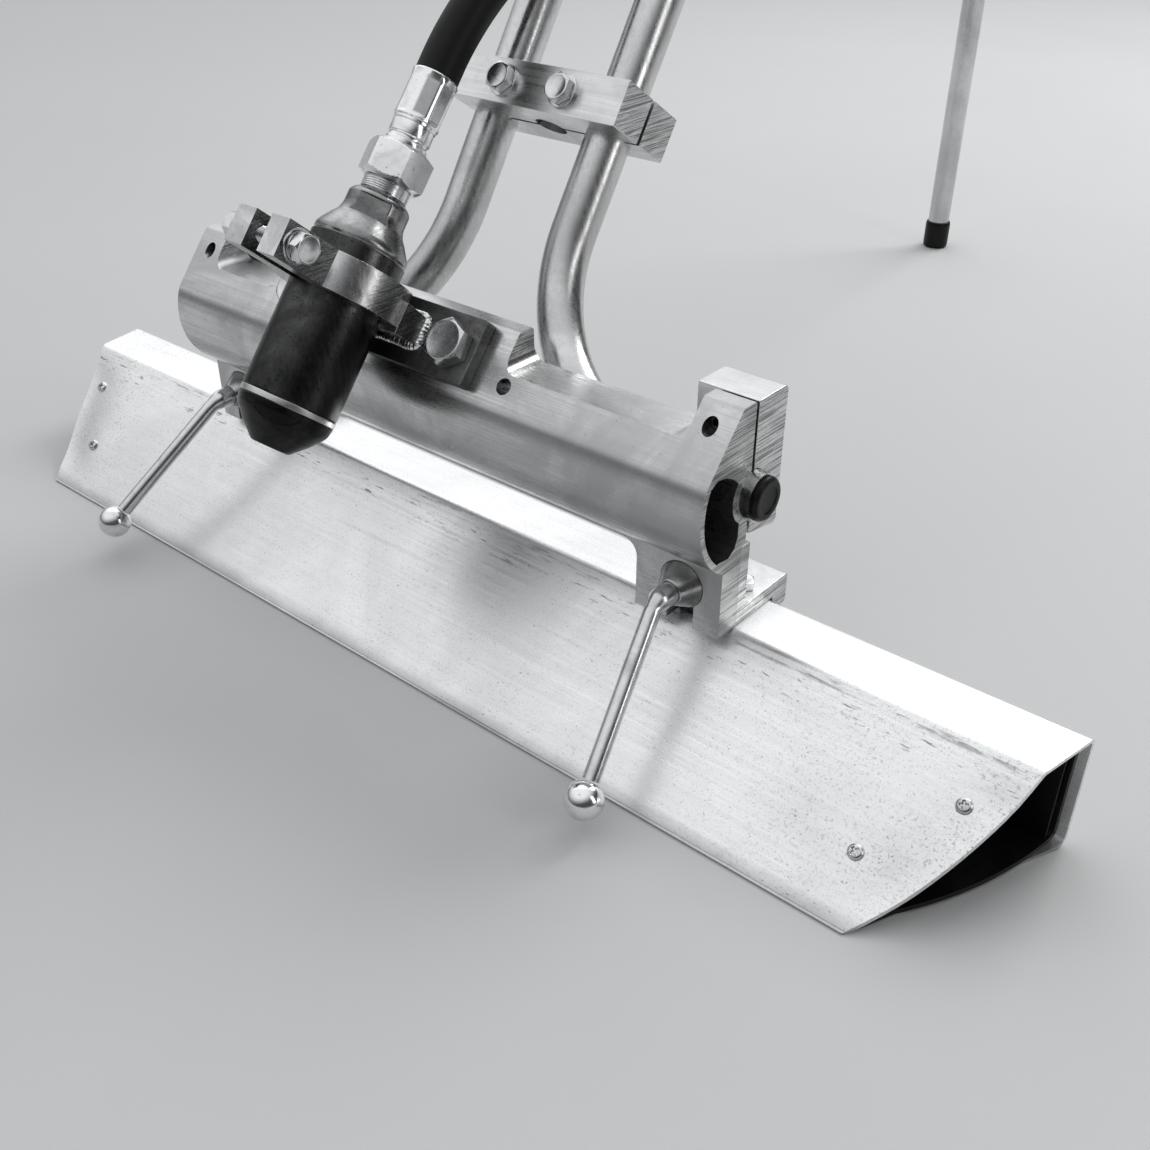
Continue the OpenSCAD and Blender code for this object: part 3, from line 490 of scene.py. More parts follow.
def board_wear(g, colour, roughness):
    """Scuffs along the board's top crease, grime near the floor and speckle towards the ends."""
    parts = g.add("SeparateXYZ", links={"Vector": g.place}).outputs
    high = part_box("board_shell")[1]
    crease = g.spread(g.size(g.math("SUBTRACT", parts[2], high.z - 3.2 * MM)), 0.0, 3.4 * MM, 1, 0)
    streak = g.spread(g.noise(g.stretch((26, 260, 260)), detail=5, rough=0.7), 0.50, 0.62)
    wall = g.spread(parts[1], 20 * MM, 36 * MM, 1, 0)
    scuffs = g.times(g.times(crease, streak), wall)
    ends = g.spread(g.size(parts[0]), 250 * MM, high.x, 0, 1)
    speck = g.spread(g.noise(scale=430, detail=3, rough=0.7), 0.56, 0.66)
    speck = g.times(speck, g.times(ends, g.spread(g.noise(scale=9, detail=3), 0.35, 0.6)))
    floor_grime = g.spread(g.plus(parts[2], g.times(g.noise(scale=30, detail=4), 6 * MM)), 4 * MM,
        13 * MM, 0.5, 0)
    fine = g.spread(g.noise(scale=900, detail=2, rough=0.6), 0.60, 0.68)
    below = g.spread(g.size(g.math("SUBTRACT", parts[2], high.z - 11 * MM)), 2 * MM, 7 * MM, 1, 0)
    dashes = g.spread(g.noise(g.stretch((60, 420, 420), (6, 0, 0)), detail=3, rough=0.6), 0.60,
        0.68)
    dashes = g.times(g.times(dashes, below), wall)
    colour = g.over(colour, grey(0.08), scuffs, 0.75)
    colour = g.over(colour, grey(0.12), dashes, 0.7)
    colour = g.over(colour, grey(0.16), speck, 0.5)
    colour = g.over(colour, grey(0.25), fine, 0.35)
    colour = g.blend(floor_grime, colour, grey(0.22))
    roughness = g.plus(roughness, g.times(g.math("MAXIMUM", scuffs, speck), 0.2))
    return colour, roughness


def painted_side_shade(g, colour, roughness):
    """Painted shade on the sides of the clamp's ears and foot that face along X."""
    across = g.add("SeparateXYZ", links={"Vector": g.normal}).outputs[0]
    facing = g.spread(g.size(across), 0.9, 0.99)
    # painted shade: faces whose normal points along X blend towards dark grey
    return g.blend(g.times(facing, 0.72), colour, grey(0.14)), roughness


def soft_black(name, level, rough, pebble, depth):
    """Moulded rubber or plastic with a fine grain and dust in its low places."""
    g = Graph(name, metallic=0.0, Specular_IOR_Level=0.35)
    grain = g.noise(scale=pebble, detail=4, rough=0.6)
    dust = g.spread(g.noise(scale=18, detail=6, rough=0.7, warp=0.5), 0.5, 0.72)
    dust = g.times(dust, g.spread(grain, 0.4, 0.6, 0.4, 1.0))
    colour = g.blend(g.times(dust, 0.5), grey(level), grey(level * 4 + 0.02))
    colour = g.over(colour, grey(level * 0.4), g.spread(grain, 0.45, 0.65), 0.3)
    roughness = g.plus(g.spread(dust, 0, 1, rough, rough + 0.2),
        g.spread(grain, 0.3, 0.7, -0.05, 0.06))
    g.bump([(grain, depth)])
    return g.finish(colour, roughness)


def hose_rubber():
    """Black hose with the faint wrap marks of its cure and dusty rubs."""
    g = Graph("black_rubber", metallic=0.0, Specular_IOR_Level=0.4)
    wrap = g.noise(g.stretch((500, 90, 90), (30, 20, 0)), detail=4, rough=0.6)
    grain = g.noise(scale=900, detail=3)
    rub = g.spread(g.noise(scale=24, detail=6, rough=0.7, warp=0.8), 0.54, 0.74)
    colour = g.blend(g.times(rub, 0.45), grey(0.006), grey(0.035))
    colour = g.over(colour, grey(0.015), g.spread(wrap, 0.45, 0.7), 0.3)
    roughness = g.plus(g.spread(rub, 0, 1, 0.48, 0.68), g.spread(grain, 0.3, 0.7, -0.05, 0.05))
    g.bump([(wrap, 0.05), (grain, 0.03)])
    return g.finish(colour, roughness)


def dipped_red():
    g = Graph("red_plastic", metallic=0.0, Coat_Weight=0.3, Coat_Roughness=0.2)
    flow = g.noise(g.stretch((60, 60, 14)), detail=4)
    worn = g.spread(g.noise(scale=55, detail=6, rough=0.7), 0.56, 0.7)
    colour = g.blend(g.spread(flow, 0.35, 0.7), (0.42, 0.05, 0.04), (0.30, 0.035, 0.03))
    colour = g.over(colour, (0.12, 0.03, 0.03), worn, 0.6)
    g.bump([(flow, 0.12), (g.noise(scale=700), 0.02)])
    return g.finish(colour, g.spread(worn, 0, 1, 0.35, 0.6))


LEAN = degrees(atan2(*joints["rotor_spin"]["axis"][1:]))
HANDLE_LEAN = degrees(atan2(HANDLE_DIR.y, HANDLE_DIR.z))

BOARD = metal("board_aluminium", grey(0.93, 0.003), grey(0.82), 0.30, (5, 420, 420),
    clouds=(5, 0.34, 0.66), grain_depth=0.012, lines=0.22, cloud_rough=0.06, pit_share=0.64,
    pit_dark=0.5, mottling=0.2, scratching=0.1, extra=board_wear)
BEAM = metal("beam_aluminium", grey(0.78, 0.003), grey(0.52), 0.24, (2.5, 620, 620),
    clouds=(9, 0.36, 0.62), grain_depth=0.03, lines=0.75, cloud_rough=0.08, saw=0.5, mottling=0.25,
    scratching=0.25)
CAST = metal("cast_aluminium", grey(0.82, 0.003), grey(0.58), 0.28, (6, 300, 300),
    clouds=(13, 0.34, 0.64), lines=0.35, cloud_rough=0.08, saw=0.5, mottling=0.22, scratching=0.25)
TUBE = metal("handle_aluminium", grey(0.74, 0.003), grey(0.56), 0.24, (330, 330, 5), HANDLE_LEAN,
    clouds=(8, 0.34, 0.66), grain_depth=0.01, lines=0.3, cloud_rough=0.06, mottling=0.2,
    scratching=0.2)
ZINC = metal("zinc_steel", grey(0.76, 0.008), grey(0.52), 0.19, (240, 240, 240),
    clouds=(30, 0.28, 0.60), grain_depth=0.006, lines=0.12, cloud_rough=0.07, pit_dark=0.6,
    mottling=0.14, scratching=0.15)
BLACK_STEEL = metal("black_steel", grey(0.10), grey(0.04), 0.34, (300, 300, 300),
    clouds=(60, 0.4, 0.62))
DARK_STEEL = metal("dark_steel", grey(0.34), grey(0.13), 0.32, (240, 240, 40), LEAN,
    clouds=(20, 0.36, 0.66), cloud_rough=0.14, pit_share=0.62, pit_dark=0.7, grain_depth=0.03)
# its extra darkens the X-facing sides of the ears and foot as painted shade
SADDLE_STEEL = metal("saddle_steel", grey(0.88), grey(0.50), 0.18, (260, 260, 12), LEAN,
    clouds=(14, 0.32, 0.62), cloud_rough=0.10, pit_share=0.65, pit_dark=0.6, lines=0.6, saw=0.6,
    mottling=0.2, extra=painted_side_shade)
WORN_STEEL = metal("worn_steel", grey(0.13), grey(0.04), 0.22, (420, 420, 10), LEAN,
    clouds=(12, 0.34, 0.70), cloud_rough=0.10, pit_share=0.61, pit_dark=0.8, lines=0.7,
    mottling=0.3)
CAP_STEEL = metal("cap_steel", grey(0.08), grey(0.028), 0.24, (40, 40, 400), LEAN,
    clouds=(18, 0.36, 0.70), cloud_rough=0.10, pit_share=0.61)
TURNED_STEEL = metal("turned_steel", grey(0.44), grey(0.15), 0.22, (16, 16, 700), LEAN,
    clouds=(20, 0.34, 0.66), cloud_rough=0.08, pit_share=0.63, grain_depth=0.03, lines=0.7)
CONE_STEEL = metal("cone_steel", grey(0.58), grey(0.30), 0.18, (16, 700, 16),
    clouds=(30, 0.3, 0.66), cloud_rough=0.06, mottling=0.15)
GROUND_STEEL = metal("ground_steel", grey(0.74), grey(0.58), 0.20, (300, 300, 300), mottling=0.15,
    lines=0.2)
FITTING = metal("plated_fitting", grey(0.90, 0.006), grey(0.70), 0.15, (200, 200, 200),
    clouds=(36, 0.28, 0.62), cloud_rough=0.06, pit_share=0.65, pit_dark=0.7, grain_depth=0.005,
    lines=0.12, mottling=0.14, scratching=0.15)
BRASS = metal("valve_brass", (0.66, 0.50, 0.24), (0.36, 0.26, 0.13), 0.28, (240, 240, 240),
    clouds=(30, 0.36, 0.64))
RUBBER = hose_rubber()
PLASTIC = soft_black("black_plastic", 0.008, 0.36, 900, 0.04)
RED = dipped_red()


# ---- Air hose ----

HOSE_R = 16
HOSE_ROUTE = [(-37, 74.95, 396.1), (-37, 87.7, 411.5), (-36.2, 101.7, 426.6),
    (-34.3, 119.5, 443.5), (-30.5, 141, 461.5), (-24.5, 166, 480.5), (-17.5, 192, 499.5),
    (-10.5, 218, 519), (-4, 243, 538.5), (1.2, 266.5, 557.5), (4.2, 286.5, 576.5),
    (5.6, 301.5, 594.5), (6, 312.27, 610.03), (6, 319.9, 621.77)]


def make_hose():
    hose = add_piece("hose", [swept(smooth_route(HOSE_ROUTE), HOSE_R - 0.1, 48)], RUBBER,
        "air_hose", body=None)
    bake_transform(hose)


make_hose()


# ---- Board ----

low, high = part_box("board_shell")
HALF_D, BOARD_H, HALF_L = high.y / MM, high.z / MM, high.x / MM
TOP_D, SHEET, END_R, END_BEHIND = 50.6, 3.0, 294.0, 33.0
END_Y = HALF_D + END_BEHIND
END_X = HALF_L - sqrt(END_R ** 2 - END_BEHIND ** 2)
NOSE_Y = low.y / MM
PANEL_LEAN = atan2(BOARD_H, HALF_D + HALF_D - TOP_D)
CURL_DEPTH, CURL_REACH = 5.4, 70.0
SHEET_SHARP = 28


def board_end(y):
    """How far the board reaches sideways at a distance behind the centre of the sole."""
    return END_X + sqrt(END_R ** 2 - (y - END_Y) ** 2)


def ease(t):
    t = min(1.0, max(0.0, t))
    return t * t * (3 - 2 * t)


def curled(p):
    """Pulls the sloping panel in a little towards its rounded ends, where the screws hold it."""
    line_y = -HALF_D + p.z / tan(PANEL_LEAN)
    depth = (p.y - line_y) * sin(PANEL_LEAN)
    near_panel = 1 - ease((depth - 3.5) / 10)
    end = ease(1 - (board_end(max(p.y, NOSE_Y)) - abs(p.x)) / CURL_REACH)
    height = ease(p.z / 26) * ease((BOARD_H - p.z) / 22)
    pull = CURL_DEPTH * end ** 1.5 * height * near_panel
    return p + Vector((0, sin(PANEL_LEAN), -cos(PANEL_LEAN))) * pull


def corner(a, b, c, radius):
    """Points of the round that joins side a-b to side b-c."""
    a, b, c = Vector(a), Vector(b), Vector(c)
    u, v = (a - b).normalized(), (c - b).normalized()
    half, steps = u.angle(v) / 2, 8
    centre = b + (u + v).normalized() * radius / sin(half)
    p, q = b + u * radius / tan(half) - centre, b + v * radius / tan(half) - centre
    start = atan2(p.y, p.x)
    turn = atan2(p.x * q.y - p.y * q.x, p.dot(q))
    angles = [start + turn * i / steps for i in range(steps + 1)]
    return [centre + radius * Vector((cos(t), sin(t))) for t in angles]


def board_section(shrink, back_r, top_r, crease_r):
    """Closed section of the board in (y, z), from the sole's front round to the panel's foot."""
    back, top, sole = HALF_D - shrink, BOARD_H - shrink, shrink
    slope = Vector((cos(PANEL_LEAN), sin(PANEL_LEAN)))
    off = shrink / sin(PANEL_LEAN)
    foot_y = -HALF_D + off + sole / tan(PANEL_LEAN)
    crease = (-HALF_D + off + top / tan(PANEL_LEAN), top)
    if shrink:
        points = [Vector((foot_y, sole))]
    else:
        lip = ((1.5, 2.1), (0.5, 1.8), (0, 1.5), (0, 0.5), (0.5, 0))
        points = [Vector((NOSE_Y + y, z)) for y, z in lip]
    points += corner((foot_y, sole), (back, sole), (back, top), back_r)
    points += corner((back, sole), (back, top), crease, top_r)
    points += corner((back, top), crease, (foot_y, sole), crease_r)
    start = points[-1]
    reach = (start - Vector((foot_y, sole))).length
    first = 3.0 if shrink else 4.0
    for i in range(1, 13):
        points.append(start - slope * (reach - first) * i / 12)
    return points


def make_board():
    """The board's folded sheet: an outer and an inner skin joined at the rounded ends."""
    stations = [-1 + 0.004 * i for i in range(12)]
    stations += [-0.95 + 0.0125 * i for i in range(13)]
    stations += [-0.75 + 0.1 * i for i in range(8)]
    stations = sorted({round(s, 5) for s in stations} | {round(-s, 5) for s in stations})
    verts, faces = [], []
    for section in (board_section(0, 10, 6, 9), board_section(SHEET, 7, 3, 6)):
        skin = []
        for s in stations:
            ring = []
            for y, z in section:
                ring.append(len(verts))
                verts.append(curled(Vector((s * board_end(max(y, NOSE_Y)), y, z))))
            skin.append(ring)
        for a, b in zip(skin, skin[1:]):
            for k in range(len(a)):
                n = (k + 1) % len(a)
                faces.append((a[k], a[n], b[n], b[k]))
    obj = add_piece("board_skin", [(verts, faces)], BOARD, "board_shell", sharp=SHEET_SHARP)
    close_ends(obj.data)


def close_ends(mesh):
    """Joins the outer and inner skins across the sheet's thickness at both ends."""
    with edited(mesh) as bm:
        for side in (-1, 1):
            edges = [e for e in bm.edges if e.is_boundary and e.verts[0].co.x * side > 0]
            bmesh.ops.bridge_loops(bm, edges=edges)
        bmesh.ops.recalc_face_normals(bm, faces=bm.faces)
        for face in bm.faces:
            face.smooth = True
    mesh.set_sharp_from_angle(angle=radians(SHEET_SHARP))


make_board()

for plug in ("end_plug_left", "end_plug_right"):
    softened(plug, PLASTIC, 0.8, move=curled)


def make_plug_ribs():
    """A rib inside each end plug, close to its back wall, and a boss near its front corner."""
    for side, name in ((-1, "left"), (1, "right")):
        y, thick, foot, top = 66.5, 3.0, SHEET + 3.6, BOARD_H - SHEET - 3.6
        out, inner = board_end(y) - 7.5, board_end(y) - 31
        corners = [(side * x, yy, z) for x in (inner, out) for yy in (y, y + thick)
            for z in (foot, top)]
        faces = [(0, 1, 3, 2), (4, 6, 7, 5), (0, 4, 5, 1), (2, 3, 7, 6), (0, 2, 6, 4),
            (1, 5, 7, 3)]
        boss_y = -44.0
        cup = eased([(0, 6.8), (6.5, 6.8), (5.6, 11), (2.4, 11.4), (2.2, 9), (0, 9)], 0.8)
        boss = moved(turned(cup, 40), shift(side * (board_end(boss_y) - 17), boss_y, 0))
        ribs = add_piece(f"plug_ribs_{name}", [(corners, faces), boss], PLASTIC, sharp=30)
        soft = ribs.modifiers.new("eased_edges", "BEVEL")
        soft.width, soft.segments = 0.7 * MM, 2


make_plug_ribs()

PANEL_SCREW_Y = (0, -43)
PANEL_SCREW_INSET, LOW_SCREW_INSET = 22, 21
BACK_SCREW_X = 474


def pan_screw():
    """Pan head with a cross recess, on a shank."""
    profile = eased([(0, 3.1), (2.4, 3.1), (3.6, 2.8), (4.6, 2.2), (5.2, 1.3), (5.4, 0.3),
        (5.3, 0), (2.4, 0), (2.4, -9), (0, -9)], 0.25)
    fine = []
    for a, b in zip(profile, profile[1:]):
        steps = 5 if a[1] > 2 else 1
        fine += between(a, b, steps)[:-1]
    verts, faces = turned(fine + [profile[-1]], 64)
    sunk = []
    for x, y, z in verts:
        if z > 1.8:
            arm = min(abs(x), abs(y))
            reach = max(abs(x), abs(y))
            if reach < 3.1:
                z -= 2.1 * ease((0.95 - arm) / 0.35) * ease((3.1 - reach) / 0.4)
        sunk.append((x, y, z))
    return sunk, faces


def make_panel_screws():
    screw, parts = pan_screw(), []
    for side in (-1, 1):
        for i, y in enumerate(PANEL_SCREW_Y):
            x = side * (board_end(y) - PANEL_SCREW_INSET - (LOW_SCREW_INSET if i else 0))
            at = curled(Vector((x, y, (y + HALF_D) * tan(PANEL_LEAN))))
            parts.append(moved(screw, shift(*at) @ spin(degrees(PANEL_LEAN), "X")
                @ spin(20 + 33 * i * side)))
        parts.append(moved(screw, shift(side * BACK_SCREW_X, HALF_D, BOARD_H / 2) @ spin(-90, "X")
            @ spin(12)))
    add_piece("plug_screws", parts, ZINC, "end_plug_screws")


make_panel_screws()


# ---- Fasteners ----

def chamfer(across):
    """Corner radius of a hexagon, the radius where its chamfer ends, and the chamfer's height."""
    corner_r, flat_r = across / sqrt(3), across * 0.475
    return corner_r, flat_r, (corner_r - flat_r) * 0.55


def hex_head(across, height):
    """A bolt head with a chamfered, slightly dished top. Its face lies at z = height."""
    corner_r, flat_r, rise = chamfer(across)
    profile = [(0, 0), (across * 0.46, 0), (across * 0.47, 0.35), (corner_r + 0.02, 0.36),
        (corner_r + 0.02, height - rise)]
    profile += between((corner_r, height - rise), (flat_r, height), 8)[1:]
    profile += [(flat_r - 0.7, height + 0.02), (flat_r - 1.6, height - 0.35), (0, height - 0.35)]
    return turned(profile, clip=polygon_clip(6, across))


def hex_nut(across, height, hole_r):
    """A nut chamfered on both faces, from z = 0 up."""
    corner_r, flat_r, rise = chamfer(across)
    profile = [(hole_r + 0.9, 0)] + between((flat_r, 0), (corner_r, rise), 6)
    profile += between((corner_r, height - rise), (flat_r, height), 6)
    profile += [(hole_r + 0.9, height), (hole_r, height - 0.9), (hole_r, 0.9)]
    return turned(profile, clip=polygon_clip(6, across))


def threaded(r, z0, z1, pitch):
    """A threaded shank with a chamfered end at z0."""
    depth = pitch * 0.35
    profile = [(0, z0), (r - depth, z0), (r - 0.2, z0 + depth)]
    turns = int((z1 - z0 - depth) / pitch)
    for i in range(turns):
        z = z0 + depth + i * pitch
        profile += [(r, z + 0.1 * pitch), (r, z + 0.25 * pitch), (r - depth, z + 0.6 * pitch)]
    return turned(profile + [(r, z1), (0, z1)], 40)


def washer(outer, hole_r, thick):
    return turned(eased([(hole_r, 0), (outer, 0), (outer, thick), (hole_r, thick), (hole_r, 0.01)],
        0.35), 72)


def spring_washer(outer, hole_r, thick):
    """A split ring whose two ends stand a little apart."""
    verts, faces, segments = [], [], 72
    for k in range(segments + 1):
        a = radians(8 + 344 * k / segments)
        lift = 0.35 * (k / segments - 0.5)
        for r, z in ((hole_r, 0.35), (outer, 0.35), (outer, thick - 0.35), (hole_r, thick - 0.35)):
            verts.append((r * cos(a), r * sin(a), z + lift))
    for k in range(segments):
        for i in range(4):
            j = (i + 1) % 4
            faces.append((4 * k + i, 4 * k + j, 4 * k + 4 + j, 4 * k + 4 + i))
    end = 4 * segments
    return verts, faces + [(0, 1, 2, 3), (end, end + 3, end + 2, end + 1)]


def make_bracket_bolts():
    parts = []
    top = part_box("bracket_bolts")[1].z / MM
    centre_x, bolt_dx, bolt_y = BEAM_HALF - 35, 20, 63
    turns = (12, 47, 3, 31)
    for i, (side, dx) in enumerate(((s, d) for s in (-1, 1) for d in (-bolt_dx, bolt_dx))):
        at = shift(side * (centre_x + dx), bolt_y, top - 6.4)
        parts.append(moved(hex_head(16, 6.4), at @ spin(turns[i])))
        parts.append(moved(turned([(0, -22), (4.95, -22), (4.95, 0.2), (0, 0.2)], 40), at))
    add_piece("bracket_bolt_set", parts, ZINC, "bracket_bolts")


M12_R, M12_PITCH, M12_ACROSS, M12_HEAD, M12_NUT = 5.95, 1.75, 19, 7.5, 10.5
M12_HOLE, M12_OUTER, WASHER_T, SPRING_T = 6.5, 12, 2.5, 3
PLATE_T, VIB_GAP, PLATE_BOLT_DX = 10, 50.3, 80.5
EAR_GAP, EAR_T, CLAMP_Y, CLAMP_Z = 16, 17.5, -73, 9.5


def make_head_bolts():
    """The two large bolts of the mounting plate, and the clamp's bolt, washers and nut."""
    parts = []
    for side, turn in ((-1, -5), (1, 5)):
        at = shift(side * PLATE_BOLT_DX, VIB_GAP - PLATE_T, 0) @ spin(90, "X")
        parts.append(moved(hex_head(30, 12.5), at @ spin(turn)))
        parts.append(moved(turned([(0, -30), (9.9, -30), (9.9, 0.2), (0, 0.2)], 48), at))
    on_head("plate_bolt_set", parts, ZINC, "plate_bolts")
    at = shift(0, CLAMP_Y, CLAMP_Z) @ spin(90, "Y")
    face = EAR_GAP / 2 + EAR_T
    under = face + WASHER_T + SPRING_T
    bolt = [moved(hex_head(M12_ACROSS, M12_HEAD), at @ shift(z=under) @ spin(13)),
        moved(threaded(M12_R, under - 71, under + 0.1, M12_PITCH), at)]
    on_head("clamp_bolt_set", bolt, ZINC, "clamp_bolt")
    rings = [moved(washer(M12_OUTER, M12_HOLE, WASHER_T), at @ shift(z=z))
        for z in (-face - WASHER_T, face)]
    rings.append(moved(spring_washer(10.4, M12_HOLE, SPRING_T - 0.1),
        at @ shift(z=face + WASHER_T + 0.05)))
    on_head("clamp_washer_set", rings, ZINC, "clamp_washers")
    nut = moved(hex_nut(M12_ACROSS, M12_NUT, 6), at @ shift(z=-face - WASHER_T - M12_NUT)
        @ spin(25))
    on_head("clamp_nut_set", [nut], ZINC, "clamp_nut")


def make_tie_bolts():
    bolts, rings, nuts, under = [], [], [], TIE_HALF + WASHER_T
    turns = iter((14, 41, 5, 33, 20, 50, 9, 27))
    for s in (TIE_S, UPPER_TIE_S):
        for dx in (-TIE_BOLT_DX, TIE_BOLT_DX):
            at = shift(dx, 0, s) @ spin(90, "X")
            head, shank = hex_head(M12_ACROSS, M12_HEAD), threaded(M12_R, under - 84, under + 0.1,
                M12_PITCH)
            bolts += [moved(head, at @ shift(z=under) @ spin(next(turns))), moved(shank, at)]
            rings += [moved(washer(M12_OUTER, M12_HOLE, WASHER_T), at @ shift(z=z))
                for z in (-under, TIE_HALF)]
            nuts.append(moved(hex_nut(M12_ACROSS, M12_NUT, 6), at @ shift(z=-under - M12_NUT)
                @ spin(next(turns))))
    on_handle("tie_bolt_set", bolts, ZINC, "tie_bolts")
    on_handle("tie_washer_set", rings, ZINC, "tie_washers")
    on_handle("tie_nut_set", nuts, ZINC, "tie_nuts")


make_bracket_bolts()
make_head_bolts()
make_tie_bolts()


# ---- Head beam, caps, brackets and clamps ----

softened("head_beam", BEAM, 0.7)
for cap in ("shaft_cap_left", "shaft_cap_right"):
    softened(cap, CAST, 1.0)
for bracket in ("bracket_left", "bracket_right"):
    softened(bracket, CAST, 0.8)
softened("mount_plate", DARK_STEEL, 0.8)
softened("saddle_clamp", SADDLE_STEEL, 1.0)
softened("cap_screws", BLACK_STEEL, 0.4)
for tie in ("tie_front", "tie_rear", "upper_tie_front", "upper_tie_rear"):
    softened(tie, CAST, 0.8)
softened("stand_bracket", ZINC, 0.8)
softened("valve_lever", RED, 1.2, 3)
softened("valve_body", BRASS, 0.8)
softened("inlet_coupling", FITTING, 0.8)


SADDLE_FOOT = -9, 11.5, 50    # bottom, top and half width


def weld_bead(a, b, radius, seed):
    """A rippled bead from a to b, in millimetres."""
    a, b = Vector(a), Vector(b)
    length = (b - a).length
    steps = max(8, int(length / 0.7))
    path = [a.lerp(b, i / steps) for i in range(steps + 1)]
    path = [p + noise.noise_vector(p * 0.11 + Vector((seed, 0, 0))) * 0.9 for p in path]

    def radius_at(s):
        ripple = abs(sin(s * pi / 2.6))
        swell = noise.noise(Vector((s * 0.09, seed, 0)))
        taper = 0.55 + 0.45 * ease(min(s, length - s) / 4)
        return radius * taper * (1 + 0.16 * ripple + 0.22 * swell)
    return swept(path, radius_at, 20, dome=1.5)


def make_welds():
    """Beads along the edges where the saddle meets the plate."""
    y, r = VIB_GAP - PLATE_T - 0.6, 3.7
    z0, z1, half = SADDLE_FOOT
    beads = [weld_bead((-half - 2, y, z), (half + 2, y, z), r, 3 + z)
        for z in (z0 - 0.6, z1 + 0.6)]
    beads += [weld_bead((side * (half + 0.6), y, z0 - 2), (side * (half + 0.6), y, z1 + 2),
        r + 0.5, 9 + side) for side in (-1, 1)]
    on_head("weld_beads", beads, SADDLE_STEEL, "saddle_welds", sharp=60, slot="dark_steel")


make_welds()


# ---- Vibrator ----

FLAT_DIR = -53


def with_rings(profile, z0, z1, step):
    """The profile with extra rings between two heights, so that a flat cut there is clean."""
    out = []
    for a, b in zip(profile, profile[1:]):
        inside = min(a[1], b[1]) < z1 and max(a[1], b[1]) > z0
        count = max(1, int(hypot(b[0] - a[0], b[1] - a[1]) / step)) if inside else 1
        out += between(a, b, count)[:-1]
    return out + [profile[-1]]


def make_vibrator():
    body = turned(
        eased([(27, -82.3), (34.4, -82.3), (35, -81.6), (35, 34.6), (34.5, 35), (27, 35),
        (27, -82.2)], 0.3), 128)
    on_head("vibrator_tube", [body], WORN_STEEL, "vibrator_body")
    ring = turned(
        eased([(27, -87.2), (34.5, -87.2), (35, -86.8), (35, -82.9), (34.5, -82.5), (27, -82.5),
        (27, -87.1)], 0.25), 128)
    on_head("vibrator_ring", [ring], GROUND_STEEL, "cap_ring", slot="worn_steel")
    flat_top = -91.0
    cap_profile = eased([(0, -116.5), (14, -116.5), (24.6, -106), (31.6, -97.5), (33.6, -94),
        (34.2, flat_top - 0.05)], 1.6, 5)
    cap_profile += [(34.25, flat_top), (34.9, -87.8), (34.6, -87.3), (0, -87.3)]
    cap = turned(with_rings(cap_profile, -117, flat_top, 0.6), 240,
        flats_clip(FLAT_DIR, 29.5, -118, flat_top - 0.02))
    on_head("vibrator_end_cap", [cap], CAP_STEEL, "vibrator_cap", sharp=30, slot="worn_steel")
    head_profile = eased([(8, 35), (33.6, 35), (33.6, 36.2), (34.6, 37.5), (34.4, 40), (33, 43),
        (28, 50.5), (24.6, 55), (23.2, 59), (22.8, 62), (22.8, 70), (21.5, 72.5), (18.5, 75),
        (8, 75), (8, 35.01)], 1.0, 4)
    head = turned(with_rings(head_profile, 52, 72, 0.5), 240,
        flats_clip(FLAT_DIR, 19.5, 55.5, 69.5))
    on_head("vibrator_back_head", [head], TURNED_STEEL, "back_head", sharp=30, slot="worn_steel")


def make_hose_end():
    """Threaded adapter, swivel nut, stem and crimped ferrule at the vibrator's end of the hose."""
    thread = [(8, 75), (15.6, 75)]
    for i in range(6):
        z = 76 + 1.6 * i
        thread += [(16.1, z), (17.3, z + 0.5), (17.3, z + 0.8), (16.1, z + 1.4)]
    thread += [(15.6, 85.5), (15.6, 95), (8, 95)]
    on_head("adapter", [turned(thread)], FITTING, "inlet_adapter", slot="worn_steel")
    nut = [(16.2, 85), (19.6, 85)] + between((20.8, 86), (24.8, 88.6), 6)
    nut += [(24.83, 108.4)] + between((24.8, 108.4), (20.6, 111), 6)[1:]
    nut += [(19.4, 112), (12.2, 112), (12.2, 95.2), (16.2, 95.2), (16.2, 85.01)]
    on_head("swivel", [turned(nut, 120, polygon_clip(6, 43))], FITTING, "swivel_nut")
    stem = eased([(8, 95), (11.9, 95), (11.9, 112), (15.5, 112), (15.5, 116), (14.4, 117),
        (14.4, 119), (15.5, 120), (15.5, 129), (8, 129), (8, 95.01)], 0.4)
    on_head("stem", [turned(stem)], FITTING, "hose_stem")
    on_head("ferrule", [crimped(129, 166.5)], FITTING, "hose_ferrule")
    on_handle("upper_ferrule", [crimped(560, 515)], FITTING, "valve_ferrule")


def crimped(z0, z1):
    """A ferrule pressed in from eight sides, from its fitting end at z0 to its hose end at z1."""
    way = 1 if z1 > z0 else -1
    length = abs(z1 - z0)
    outer = [(8.5, 0), (15.4, 0), (16, 0.6), (16, 2.2)]
    outer += between((16.9, 3.2), (16.9, length - 6.2), 24)
    outer += [(17.1, length - 5), (17.1, length - 1), (16.6, length), (15.9, length),
        (8.5, length)]
    press = polygon_clip(8, 32.2, min(z0, z1) + 4.5, max(z0, z1) - 4.5)
    profile = [(r, z0 + way * z) for r, z in outer]
    return turned(profile, 128, press)


make_vibrator()
make_hose_end()


# ---- Clamp levers ----

HUB_Z, LEVER_A, LEVER_BEND, LEVER_TURN, LEVER_RUN = 14, 19.4, 22, 45, 127
BALL_R, BALL_FLAT, SCREW_PITCH = 13.5, -11.6, 2.0
SPLAY = {"left": 21, "right": 12}


